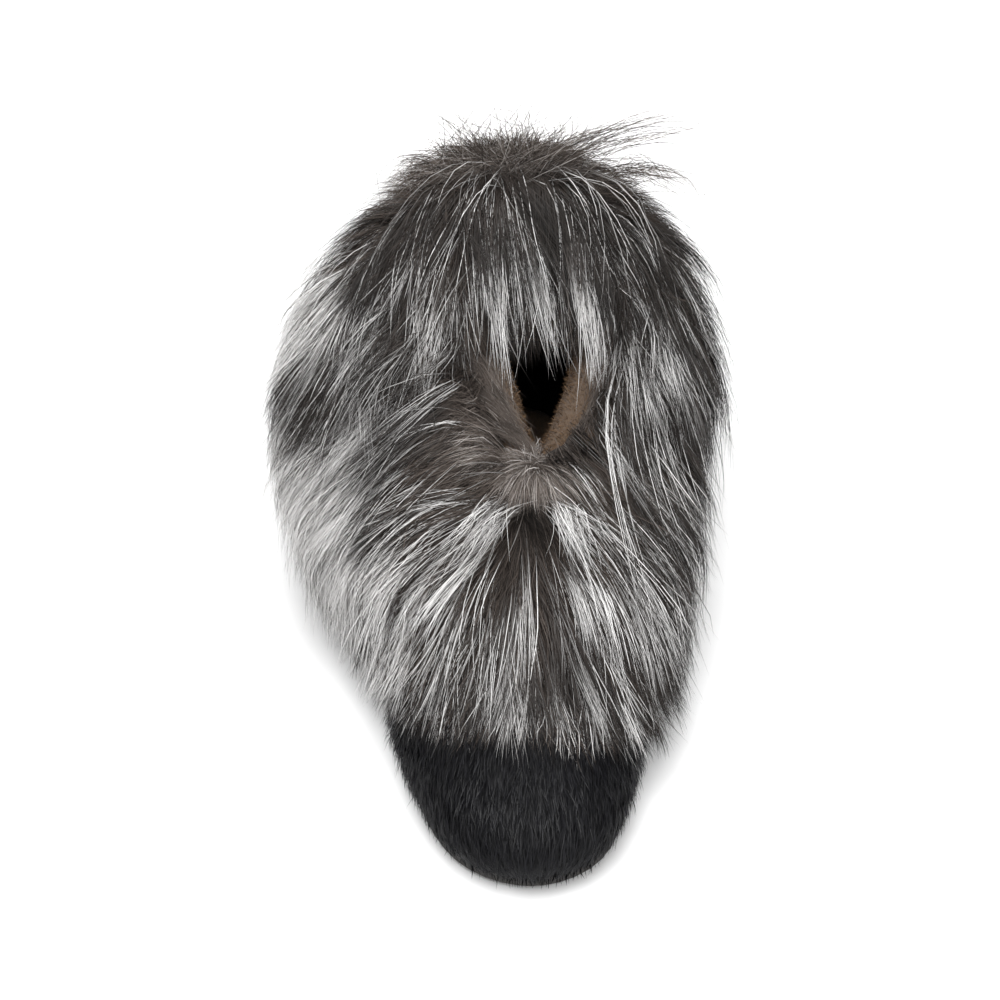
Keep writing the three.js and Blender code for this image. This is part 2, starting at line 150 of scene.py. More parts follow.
# Up the view is a sum of parts of the way along and of the height. Between these places, mm behind the toe,
# the zones give way to the back.
VIEW_ALONG = 0.731
VIEW_HEIGHT = 0.682
VIEW_SHIFT = 6.0
BACK_FROM = 232
BACK_TO = 258

# The plush that shows on both sides of the slit: its edge at the slit and its rim under the fur, from the
# throat back. Each row of the section: the share of the way from edge to rim, then mm outward and up.
PLUSH = {
    "inner": {"edge": [(8, 136, 93), (14.5, 152, 97), (21, 177, 98), (24, 200, 98)],
              "rim": [(11, 132, 94), (27, 143, 104), (35, 175, 109), (37, 200, 111)]},
    "outer": {"edge": [(8, 136, 92), (4, 147, 95), (-1, 168, 98), (-6, 190, 100)],
              "rim": [(5, 133, 92), (-3, 146, 97), (-9, 166, 101), (-15, 190, 104)]},
}
PLUSH_SECTION = [
    (1, 5, -4), (1, 0, 0), (0.65, 0, 2), (0.25, 0, 1.6), (0, 0, 0), (0, 0.5, -6), (0, 5, -18), (0, 10, -34)]
PLUSH_STEPS = 40
PLUSH_THICKNESS = 1.2 * MM

# The lining of the shoe: how far it starts below the lip and how deep it goes, mm by turn, its rolled edge as
# reach and height, the shares of its depth where it has rows, and the turns where it leaves the wall.
LINING_SINK = {0: 26, 30: 22, 60: 9, 180: 9}
LINING_DEPTH = {0: 10, 40: 14, 90: 45, 180: 60}
LINING_ROLL = [(4, 2), (1, 1), (0, -6)]
LINING_ROWS = (0.2, 0.6, 1.0)
LINING_FREE = (40, 80)
LINING_INSET = 6.0

# The plush's hairs: the rows of the section that bear them, the middle of the slit that they face, how they
# lean and stray, and their size.
PILE_ROWS = (1, 6)
PILE_SLIT = np.array([8, 165, 0])
PILE_LIFT = 0.5
PILE_LEAN = np.array([0, -0.3, -0.25])
PILE_STRAY = 0.6
PILE_LENGTHS = (0.6, 1.2)
PILE_WIDTH = 0.22 * MM
PILE_KNOTS = 3

# The footbed: how evenly it is meshed and smoothed, and how far it is crowned.
PAD_VOXEL = 3 * MM
PAD_SMOOTH = (0.5, 4)
PAD_CROWN = 1.5 * MM
PAD_EDGE = 2 * MM

# Loose hairs. Each row: where they start, pass and end, how far they stray from that at the start and the
# end, mm, and how many there are. These stand on the crown.
WISPS = [
    ((-18, 253, 137), (-22, 266, 148), (-28, 276, 153), (12, 8), 60),
    ((-4, 254, 138), (-3, 267, 149), (-4, 281, 154), (10, 10), 70),
    ((10, 253, 138), (16, 265, 149), (26, 272, 152), (9, 10), 50),
    ((8, 247, 138), (24, 259, 148), (44, 265, 149), (9, 10), 130),
    ((20, 252, 140), (50, 261, 151), (94, 262, 149), (7, 10), 34),
    ((20, 254, 142), (46, 266, 152), (84, 273, 153), (6, 8), 26),
    ((30, 246, 137), (56, 253, 144), (78, 238, 130), (9, 10), 90),
    ((-26, 247, 134), (-40, 258, 141), (-56, 246, 130), (10, 8), 120),
]

# Soft wool that lies over the plush on both sides of the slit.
LIP_WOOL = [
    ((-7, 146, 101), (-1, 142, 102), (7, 135, 95), (4, 2), 420),
    ((-14, 160, 105), (-7, 153, 107), (2, 143, 98), (4, 3), 520),
    ((-20, 178, 108), (-12, 168, 112), (-4, 153, 101), (4, 3), 520),
    ((34, 156, 110), (28, 146, 109), (20, 133, 99), (3, 3), 130),
    ((38, 176, 113), (33, 164, 114), (27, 148, 106), (3, 3), 200),
]

# White tufts in the fall and on both sides of the throat, and long arcs of hair from the crown.
TUFTS = [
    ((3, 220, 138), (9, 196, 129), (17, 168, 101), (3.5, 4.5), 90),
    ((23, 208, 137), (27, 180, 123), (32, 150, 106), (3.5, 5), 80),
    ((-11, 218, 138), (-9, 186, 126), (-3, 155, 99), (3.5, 4.5), 70),
    ((-30, 196, 133), (-36, 160, 125), (-40, 128, 104), (6, 7), 80),
    ((-2, 118, 89), (-11, 106, 94), (-29, 82, 82), (6, 8), 100),
    ((13, 118, 89), (19, 106, 95), (28, 84, 83), (4, 6), 90),
    ((9, 246, 141), (34, 241, 152), (48, 160, 118), (6, 10), 9),
    ((7, 247, 141), (46, 244, 150), (68, 176, 116), (6, 10), 7),
    ((-8, 244, 141), (-25, 249, 150), (-62, 186, 122), (6, 10), 8),
    ((-7, 244, 141), (-20, 242, 152), (-36, 160, 118), (6, 9), 6),
]

# How pale these hairs are and how much that varies.
WISP_TONE = (0.45, 0.3)
LIP_TONE = (0.5, 0.14)
TUFT_TONE = (0.6, 0.3)
WISP_WIDTH = 0.2 * MM
TUFT_WIDTH = 0.9
WISP_REACH = 95 * MM
WISP_KNOTS = 7
WISP_ENDS = (0.45, 1.0)
WISP_WIDTHS = (0.6, 1.3)
WISP_SCATTER = np.array([1, 0.7, 0.35])
WISP_FACING = np.array([0.0, -0.6, 0.8])

# Whorls, where the hair parts and short wool lies outward in every direction: the middle and half size, mm,
# the hairs, their length, how far they rise and droop, how much shorter they are behind, how pale they are
# and how much that varies.
WHORLS = {
    "crown": {"middle": (-3, 255, 135), "half": (25, 9, 2), "hairs": 5000, "length": 23.0,
              "rise": 0.55, "droop": 0.85, "cut": 0.0, "tone": 0.52, "mix": 0.24},
    "throat": {"middle": (6, 131, 95), "half": (10, 5, 1.5), "hairs": 3000, "length": 18.0,
               "rise": 0.45, "droop": 0.55, "cut": 0.6, "tone": 0.72, "mix": 0.15},
}
WHORL_WIDTH = 0.24 * MM
WHORL_LENGTHS = (0.6, 1.2)
WHORL_SLOPE = 3 * MM
WHORL_SPREAD = 0.5
WHORL_EDGE = 1.2
WHORL_STRAY = np.array([0.3, 0.3, 0.09])
WHORL_KNOTS = 4
WHORL_FACING = np.array([0.0, -0.5, 0.87])

# Grids over the coat: turn round the foot, and way from the lip, -0.5, over the top, 0, and the hem, 1, past
# the tips, 1.5. Then the fall's: across it, and way from the crown.
TURNS = np.linspace(-180, 180, 241)
WAY_TIP = 1.5
WAYS = np.linspace(-0.5, 2.1, 105)
FALL_ACROSS = np.linspace(-1, 1, 61)
FALL_WAYS = np.linspace(0, 1.5, 61)

# The coat's skin and depth, mm, and shares of them.
SKIN_HEIGHT_STEP = 1.0
SKIN_LOWEST = 8.0
COAT_LOWEST = 4.0
HEM_LAP = 6
LIP_BLEND = 0.3
LIP_THICKNESS = 14.0
FALL_THICKNESS = 14.0
FALL_THINNING = 0.55
FALL_SLANT = 0.4
RAY_START = 200.0
GIRTH_LEAST = 0.25 * MM
DEEPEST = 0.92

# The bed of dense wool: its depth under the coat, mm, more at the hem, and where it lies.
BED_BELOW = 9.0
BED_HEM_BELOW = 8
BED_HEM = (0.6, 0.95)
BED_WAYS = np.linspace(-0.46, 0.95, 25)
BED_FALL_BELOW = 7 * MM
BED_FALL_ACROSS = np.linspace(-0.95, 0.95, 31)
BED_FALL_WAYS = np.linspace(0.05, 0.8, 16)
BED_FALL_CUT = 0.3
FALL_MIDDLE = (0.3, 0.5)
TO_THE_SKIN = 1.0

# Where the fur changes: turns and ways round the throat, where the wool puffs up round the crown, and where
# the hair stands out at the outer side and at the back of the inner side. Puff and flare are mm.
THROAT_TURNS = (40, 90)
THROAT_WAYS = (-0.15, 0.25)
PUFF = 5
PUFF_TURNS = (125, 150)
PUFF_WAYS = (0.15, 0.5)
FLARE = 7.0
FLARE_OUTER = ((48, 80), (130, 165))
FLARE_INNER = ((95, 120), (145, 175))

# Where hairs root, as ways: the guard hairs, closer where the fur is silver a little ahead; the wool; and the
# fall's guard hairs, in its middle and how much further at its sides.
GUARD_ROOTS = (-0.4, 0.85)
GUARD_AHEAD = 0.3
GUARD_LEAST = 0.35
GUARD_THROAT_THIN = 0.85
WOOL_ROOTS = (-0.5, 1.0)
WOOL_THROAT_MORE = 1.5
FALL_ROOTS = (0.42, 0.3)

# What sets the fall's hairs apart in a plan: they hang straight, and their roots lie less deep.
HANGING = {"throat_cut": 0, "swing": 0, "root": 11, "flare": 0, "puff": 0}

# How hairs differ: in length, width, how soon they come to the surface and how stiff their tips are; how a
# lock gathers; and how far lone hairs, which don't gather, stray.
LENGTH_SPREAD = 0.12
WIDTHS = (0.7, 1.3)
SURFACING = 2.6
STIFFNESS = (0.3, 1)
GATHERING = 1.2
LONE_GATHER = 0.1
LONE_STRAY = 2.2
STRAY_OUT = 0.6
STRAY_BEND = 1.5
RIPPLES = (4, 10)

# A strip's width at its root, where it reaches its full width, and how it narrows to the tip.
ROOT_WIDTH = 0.65
FULL_FROM = 3
TAPER = 3
MAP_MARGIN = 0.02

# A hair's colour is a cell across its map and its place along the hair. Cells run through the silver levels,
# and each level has some varieties of band. Above the strand level a hair is white for most of its length.
HAIR_MAP = "OFBake"
SILVER_LEVELS = 8
VARIETIES = 8
CELLS = SILVER_LEVELS * VARIETIES
BAND_PLACE = 0.65
BAND_SHIFT = 0.24
STRAND_LEVEL = 0.93
GREY = (1.0, 1.0, 1.0)

# Long single strands: how many lie over the coat and the fall, their length, mm, and width.
STRANDS = 420
FALL_STRANDS = 150
STRAND_LENGTH = 100.0
STRAND_WIDTH = 0.8
STRAND_SILVER = 0.55

# The hide's hairs: where the long fur leaves the hide bare, mm, the middle line that its outside faces away
# from, and how the hairs lie, stray, rise and shorten towards the sole.
BARE_ALONG = 100
BARE_HEIGHT = 34
HIDE_SPINE = (45 * MM, 215 * MM)
HIDE_MIDDLE = 25 * MM
HIDE_KNOTS = 4
HIDE_AHEAD = 0.8
HIDE_AHEAD_TO = (80, 150)
HIDE_DOWN = -0.45
HIDE_SIDEWAYS = 0.1
HIDE_STRAY = 0.16
HIDE_LENGTHS = (0.7, 1.2)
HIDE_SHORTEST = 0.65
HIDE_SHORT_TO = (4, 20)
HIDE_RISE = (0.12, 0.3)
HIDE_SIDE_RISE = 0.6
HIDE_SIDE_FACING = (0.4, 0.9)
HIDE_SIDE_FROM = (30, 80)
HIDE_BEND = 1.2
HIDE_CURVE = (1.5, 0.8)

# The stage: the floor's half size, the sky's strength, and each light's place, size and power.
FLOOR_HALF = 4.0
SKY = 0.5
LIGHTS = {
    "key": ((-0.2, -0.45, 1.75), 1.1, 36.0),
    "fill": ((0.8, -1.0, 1.0), 0.9, 7.0),
    "back": ((0.1, 1.0, 1.3), 0.8, 9.0),
}
LIGHT_TARGET = Vector((0, 0, 0.06))
VIEW_TARGET = Vector((0.0, TOE_Y + 140 * MM, 66 * MM))
SENSOR = 36.0
PICTURE_SIZE = 1000


def hermite(places, values, at):
    """Smooth values between table rows, with each row's slope taken from its two neighbours."""
    places = np.asarray(places, float)
    values = np.asarray(values, float)
    slopes = np.empty_like(values)
    slopes[1:-1] = (values[2:] - values[:-2]) / (places[2:] - places[:-2])[:, None]
    slopes[0] = (values[1] - values[0]) / (places[1] - places[0])
    slopes[-1] = (values[-1] - values[-2]) / (places[-1] - places[-2])
    at = np.clip(at, places[0], places[-1])
    i = np.clip(np.searchsorted(places, at, side="right") - 1, 0, len(places) - 2)
    step = (places[i + 1] - places[i])[..., None]
    p = ((at - places[i])[..., None]) / step
    h01 = p * p * (3 - 2 * p)
    start = values[i] * (1 - h01) + slopes[i] * step * p * (1 - p) ** 2
    return start + values[i + 1] * h01 - slopes[i + 1] * step * p * p * (1 - p)


def spline(points, at):
    """A smooth curve through points of shape (..., n, d), read at places 0 to n - 1 of shape (..., m)."""
    last = points.shape[-2] - 1
    i = np.clip(np.floor(at).astype(int), 0, last - 1)
    w = (at - i)[..., None]

    def take(k):
        return np.take_along_axis(points, np.clip(k, 0, last)[..., None], axis=-2)

    p0, p1, p2, p3 = take(i - 1), take(i), take(i + 1), take(i + 2)
    v0, v1 = (p2 - p0) / 2, (p3 - p1) / 2
    return (2 * p1 - 2 * p2 + v0 + v1) * w ** 3 + (3 * p2 - 3 * p1 - 2 * v0 - v1) * w ** 2 + v0 * w + p1


def unit(vectors):
    """Vectors of length one."""
    return vectors / np.maximum(np.linalg.norm(vectors, axis=-1, keepdims=True), 1e-9)


def smoothstep(value, low, high):
    """A soft step from 0 at low to 1 at high."""
    t = np.clip((value - low) / (high - low), 0, 1)
    return t * t * (3 - 2 * t)


def wrapped(turn):
    """A turn brought between -180 and 180 degrees."""
    return np.mod(turn + 180, 360) - 180


def by_turn(table, turns):
    """A table's value at each turn."""
    return np.interp(np.abs(turns), list(table), list(table.values()))


def add_piece(name, data):
    """Puts a mesh, light or camera into the scene."""
    piece = bpy.data.objects.new(name, data)
    bpy.context.scene.collection.objects.link(piece)
    return piece


def smooth_piece(name, corners, faces):
    """A piece with a smooth mesh."""
    mesh = bpy.data.meshes.new(name)
    mesh.from_pydata(corners.tolist(), [], faces)
    mesh.polygons.foreach_set("use_smooth", np.ones(len(faces), bool))
    mesh.update()
    return add_piece(name, mesh)


def settle(piece, material):
    """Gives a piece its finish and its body."""
    piece.data.materials.append(material)
    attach(piece, "root")
    return piece


def cuff_profiles(turns, spilt=True):
    """The fur's profile at each turn: five points of reach and height, mm. spilt: its lip leans in."""
    rows = [(-row[0], *row[1:]) for row in reversed(CUFF[1:])] + CUFF
    table = hermite([row[0] for row in rows], [sum(row[1:], ()) for row in rows], turns)
    points = table[:, :-2].reshape(len(turns), -1, 2).copy()
    on_outer = np.sin(np.radians(turns)) < 0
    fullness = np.where(on_outer, table[:, -2], table[:, -1])
    top = points[:, TOP:TOP + 1, 0]
    points[:, SIDE:, 0] = top + (points[:, SIDE:, 0] - top) * fullness[:, None]
    spill = [np.interp(np.abs(turns), list(SPILL), side) for side in zip(*SPILL.values())]
    points[:, LIP, 0] -= spilt * np.where(on_outer, *spill)
    return points


def cuff_place(turn, reach, height):
    """A point of a cuff section, in metres: turn in degrees, reach and height in mm."""
    angle = np.radians(turn)
    middle = (SPINE_FRONT + SPINE_BACK) / 2
    spine = (SPINE_BACK - SPINE_FRONT) / 2
    x = reach * np.sin(angle)
    along = middle - (spine + reach) * np.cos(angle)
    return np.stack([AXIS_X + x * MM, TOE_Y + along * MM, height * MM], axis=-1)


def node_tree(name):
    """A search tree over a CAD node's triangles."""
    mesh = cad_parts[name].data
    corners = [v.co for v in mesh.vertices]
    return BVHTree.FromPolygons(corners, [p.vertices[:] for p in mesh.polygons])


def skin_reach(tree, turn, height):
    """Reach of the upper's outside at a turn and height, mm, or None over its rim."""
    outer = Vector(cuff_place(turn, RAY_START, height))
    inner = Vector(cuff_place(turn, 0.0, height))
    hit = tree.ray_cast(outer, (inner - outer).normalized(), (inner - outer).length)
    return None if hit[0] is None else RAY_START - hit[3] / MM


class Coat:
    """A layer of fur between a skin and its outside, both grids of points over round and way."""

    def __init__(self, rounds, ways, outside, skin, wraps):
        self.rounds = rounds
        self.ways = ways
        self.outside = outside
        self.wraps = wraps
        self.inward = unit(skin - outside)
        self.thickness = np.linalg.norm(skin - outside, axis=-1)
        across = np.gradient(outside, axis=0)
        down = np.gradient(outside, axis=1)
        normal = unit(np.cross(across, down))
        facing = np.sign(np.sum(normal * (outside - skin), axis=-1, keepdims=True))
        self.normal = normal * np.where(facing == 0, 1, facing)
        self.area = np.linalg.norm(np.cross(across, down), axis=-1)
        self.run = np.linalg.norm(down, axis=-1) / (ways[1] - ways[0])
        self.girth = np.maximum(np.linalg.norm(across, axis=-1) / (rounds[1] - rounds[0]), GIRTH_LEAST)
        steps = np.linalg.norm(np.diff(outside, axis=1), axis=-1)
        self.run_so_far = np.concatenate([np.zeros((len(rounds), 1)), np.cumsum(steps, axis=1)], axis=1)

    def read(self, grid, round_, way):
        """Values of a grid at places between its points."""
        r = (round_ - self.rounds[0]) / (self.rounds[1] - self.rounds[0])
        w = (way - self.ways[0]) / (self.ways[1] - self.ways[0])
        count = len(self.rounds) - 1
        r = np.mod(r, count) if self.wraps else np.clip(r, 0, count)
        w = np.clip(w, 0, len(self.ways) - 1)
        i = np.minimum(r.astype(int), count - 1)
        j = np.minimum(w.astype(int), len(self.ways) - 2)
        shape = r.shape + (1,) * (grid.ndim - 2)
        a = (r - i).reshape(shape)
        b = (w - j).reshape(shape)
        low = grid[i, j] * (1 - a) + grid[i + 1, j] * a
        high = grid[i, j + 1] * (1 - a) + grid[i + 1, j + 1] * a
        return low * (1 - b) + high * b

    def places(self):
        """Round and way at each point of the grid."""
        return np.meshgrid(self.rounds, self.ways, indexing="ij")

    def roots(self, rng, count, weight):
        """Random places on the coat, as even as its area and a weight grid ask."""
        share = (self.area * weight)[:-1, :-1].ravel()
        picked = rng.choice(share.size, size=count, p=share / share.sum())
        i, j = np.divmod(picked, len(self.ways) - 1)
        round_ = self.rounds[i] + rng.random(count) * (self.rounds[1] - self.rounds[0])
        way = self.ways[j] + rng.random(count) * (self.ways[1] - self.ways[0])
        return round_, way

    def room(self, round_, way, end):
        """Distance over the coat from a way to a later one."""
        return self.read(self.run_so_far, round_, end) - self.read(self.run_so_far, round_, way)

    def place(self, round_, way, below):
        """Points in the fur: below is how far they lie under the outside."""
        outside = self.read(self.outside, round_, way)
        inward = unit(self.read(self.inward, round_, way))
        below = np.minimum(below, DEEPEST * self.read(self.thickness, round_, way))
        return outside + inward * below[..., None]


def outer_coat():
    """The coat on the outside of the cuff, from its lip to its hanging tips."""
    profiles = cuff_profiles(TURNS)
    steps = np.broadcast_to(1 + 2 * np.minimum(WAYS, WAY_TIP), (len(TURNS), len(WAYS)))
    outline = spline(profiles, steps)
    beyond = 2 * np.maximum(WAYS - WAY_TIP, 0)[None, :, None]
    outline = outline + beyond * (profiles[:, TIP] - profiles[:, HEM])[:, None]
    outline[..., 1] = np.maximum(outline[..., 1], COAT_LOWEST)
    outside = cuff_place(TURNS[:, None], outline[..., 0], outline[..., 1])
    tree = node_tree("upper")
    skin = np.empty_like(outside)
    for i, turn in enumerate(TURNS):
        rim, hem, tip = profiles[i, [TOP, HEM, TIP], 1]
        while (skin_reach(tree, turn, rim) or -1) < 0:
            rim -= SKIN_HEIGHT_STEP
        heights = np.where(WAYS < 0, rim, rim + (hem - HEM_LAP - rim) * np.minimum(WAYS, 1))
        heights = heights - 2 * (hem - tip) * np.maximum(WAYS - 1, 0)
        heights = np.maximum(heights, SKIN_LOWEST)
        reaches = [skin_reach(tree, turn, h) for h in heights]
        known = next(r for r in reaches if r is not None)
        for j, reach in enumerate(reaches):
            known = known if reach is None else reach
            skin[i, j] = cuff_place(turn, known, heights[j])
    lip = smoothstep(-WAYS, 0, LIP_BLEND)[None, :, None]
    skin = skin * (1 - lip) + (outside - LIP_THICKNESS * MM * UP) * lip
    return Coat(TURNS, WAYS, outside, skin, True)


def fall_coat():
    """The coat that hangs over the opening: across runs from the outer to the inner side of the foot."""
    rows = [np.ravel(line) for line in FALL.values()]
    points = hermite(list(FALL), rows, FALL_ACROSS).reshape(len(FALL_ACROSS), -1, 3) * MM
    parts = points.shape[1] - 1
    at = np.broadcast_to(np.minimum(FALL_WAYS, 1) * parts, (len(FALL_ACROSS), len(FALL_WAYS)))
    onward = (points[:, -1] - points[:, -2])[:, None] * parts * np.maximum(FALL_WAYS - 1, 0)[None, :, None]
    outside = spline(points, at) + onward + ORIGIN
    sink = FALL_THICKNESS * (1 - FALL_THINNING * np.minimum(FALL_WAYS, 1)) * MM
    skin = outside - np.stack([0 * sink, -FALL_SLANT * sink, sink], axis=-1)[None]
    return Coat(FALL_ACROSS, FALL_WAYS, outside, skin, False)


def lock_paths(coat, rng, round_, way, plan):
    """Middle lines of locks combed over a coat, the coat's normals there, and the place of each band."""
    count = len(round_)
    knots = plan["knots"]
    end = np.interp(round_, list(plan["end"]), list(plan["end"].values()))
    room = coat.room(round_, way, end + plan["end_spread"] * rng.normal(0, 1, count))
    length = plan["length"] * (1 - plan["throat_cut"] * near_throat(round_, way))
    length = length * (1 + LENGTH_SPREAD * rng.normal(0, 1, count)) * MM
    length = np.maximum(np.minimum(length, room), plan["shortest"] * MM)
    own = plan["spread"] * rng.normal(0, 1, count)
    tip = plan["tip"] - plan["flare"] * flare(round_) - plan["puff"] * puff(round_, way)
    tip = tip + plan["tip_spread"] * np.clip(rng.normal(0, 1, count), -2, 2)
    step = length / (knots - 1)
    rounds, ways = [round_], [way]
    for _ in range(knots - 1):
        r, w = rounds[-1], ways[-1]
        lean = np.radians(plan["swing"] * coat_swing(r, w) + own)
        rounds.append(r + np.sin(lean) * step / coat.read(coat.girth, r, w))
        ways.append(w + np.cos(lean) * step / coat.read(coat.run, r, w))
    rounds = np.stack(rounds, axis=1)
    ways = np.stack(ways, axis=1)
    s = np.linspace(0, 1, knots)[None]
    below = plan["root"] + (tip[:, None] - plan["root"]) * (1 - (1 - s) ** SURFACING)
    points = coat.place(rounds, ways, below * MM)
    normals = unit(coat.read(coat.normal, rounds, ways))
    k = knots // 2
    onward = np.maximum(np.arange(knots) - k, 0)[None, :, None]
    line = points[:, k:k + 1] + (points[:, k:k + 1] - points[:, k - 1:k]) * onward
    stiff = plan["stiff"] * rng.uniform(*STIFFNESS, count)[:, None, None] * (onward > 0)
    points = points * (1 - stiff) + line * stiff
    band = int(round(BAND_PLACE * (knots - 1)))
    return points, normals, points[:, band]


def grow(name, coat, seed, plan, width):
    """One mesh of hairs in locks over a coat."""
    rng = np.random.default_rng(seed)
    locks, hairs, knots = plan["locks"], plan["hairs"], plan["knots"]
    round_, way = coat.roots(rng, locks, plan["share"](coat))
    paths, normals, bands = lock_paths(coat, rng, round_, way, plan)
    weight = np.exp(plan["uneven"] * rng.normal(0, 1, locks))
    owner = rng.choice(locks, hairs, p=weight / weight.sum())
    s = np.linspace(0, 1, knots)
    lone = rng.random(hairs) < plan["loners"]
    at = s[None] * rng.uniform(*plan["ends"], hairs)[:, None] * (knots - 1)
    before = np.minimum(at.astype(int), knots - 2)
    part = (at - before)[..., None]
    points = paths[owner[:, None], before] * (1 - part) + paths[owner[:, None], before + 1] * part
    facing = normals[owner[:, None], before]
    along = unit(np.gradient(points, axis=1))
    beside = unit(np.cross(along, facing))
    gather = np.where(lone, LONE_GATHER, plan["gather"])[:, None]
    close = (1 - gather * s[None] ** GATHERING)[..., None]
    spread = rng.normal(0, 1, (hairs, 1, 2)) * np.array([plan["wide"], plan["deep"]]) * MM
    points = points + (beside * spread[..., :1] + facing * spread[..., 1:]) * close
    size = np.linalg.norm(points[:, -1] - points[:, 0], axis=-1)[:, None, None]
    more = np.where(lone, LONE_STRAY, 1)[:, None, None]
    stray = np.radians(plan["stray"]) * rng.normal(0, 1, (hairs, 1, 2)) * more
    reach = size * (s ** STRAY_BEND)[None, :, None]
    points = points + (beside * stray[..., :1] + facing * STRAY_OUT * stray[..., 1:]) * reach
    turns = rng.uniform(*RIPPLES, (hairs, 1, 3))
    ripple = np.sin(s[None, :, None] * turns + rng.uniform(0, 2 * math.pi, (hairs, 1, 3)))
    points = points + ripple * s[None, :, None] * plan["ripple"] * MM
    silver = plan["silver"](bands) + plan["lock_mix"] * rng.normal(0, 1, locks)
    silver = smoothstep(silver[owner] + plan["hair_mix"] * rng.normal(0, 1, hairs), *plan["split"])
    widths = width * rng.uniform(*WIDTHS, hairs)
    return ribbons(name, points, facing, widths, hair_cells(rng, np.clip(silver, 0, plan["most"])), rng)


def ribbons(name, points, normals, width, cell, rng, twist=1.1, soften=0.6):
    """One mesh of hairs: each is a flat strip that narrows to a point."""
    hairs, knots, _ = points.shape
    points = points.copy()
    points[..., 2] = np.maximum(points[..., 2], FLOOR_CLEAR)
    along = unit(np.gradient(points, axis=1))
    beside = unit(np.cross(along, normals))
    outward = unit(np.cross(beside, along))
    angle = rng.uniform(-twist, twist, hairs)[:, None, None]
    side = beside * np.cos(angle) + outward * np.sin(angle)
    s = np.linspace(0, 1, knots)
    taper = (ROOT_WIDTH + (1 - ROOT_WIDTH) * np.minimum(1, FULL_FROM * s)) * (1 - s ** TAPER)
    half = side * (np.asarray(width)[:, None] * taper[None])[..., None] / 2
    body = np.stack([(points - half)[:, :-1], (points + half)[:, :-1]], axis=2).reshape(hairs, -1, 3)
    vertices = np.concatenate([body, points[:, -1:]], axis=1)
    each = vertices.shape[1]
    shade = unit(unit(np.cross(side, along)) * (1 - soften) + normals * soften)
    shade_body = np.repeat(shade[:, :-1], 2, axis=1)
    shade = np.concatenate([shade_body, shade[:, -1:]], axis=1).reshape(-1, 3)

    quads = knots - 2
    base = 2 * np.arange(quads)[:, None] + np.array([0, 1, 3, 2])[None]
    tip = np.array([each - 3, each - 2, each - 1])
    pattern = np.concatenate([base.ravel(), tip])
    loops = (pattern[None] + each * np.arange(hairs)[:, None]).ravel()
    sizes = np.array([4] * quads + [3])
    starts = np.concatenate([[0], np.cumsum(sizes)[:-1]])
    starts = (starts[None] + len(pattern) * np.arange(hairs)[:, None]).ravel()

    mesh = bpy.data.meshes.new(name)
    mesh.vertices.add(hairs * each)
    mesh.vertices.foreach_set("co", vertices.astype(np.float32).ravel())
    mesh.loops.add(len(loops))
    mesh.loops.foreach_set("vertex_index", loops.astype(np.int32))
    mesh.polygons.add(len(starts))
    mesh.polygons.foreach_set("loop_start", starts.astype(np.int32))
    mesh.polygons.foreach_set("use_smooth", np.ones(len(starts), bool))

    across = np.array([0.25, 0.75] * (knots - 1) + [0.5])
    down = np.append(np.repeat(s[:-1], 2), 1.0) * (1 - 2 * MAP_MARGIN) + MAP_MARGIN
    u = (np.asarray(cell)[:, None] + across[pattern][None]) / CELLS
    v = np.broadcast_to(down[pattern][None], u.shape)
    uv = mesh.uv_layers.new(name=HAIR_MAP)
    uv.data.foreach_set("uv", np.stack([u, v], axis=-1).astype(np.float32).ravel())
    mesh.update()
    mesh.validate()
    mesh.normals_split_custom_set_from_vertices(shade.astype(np.float32))
    return add_piece(name, mesh)


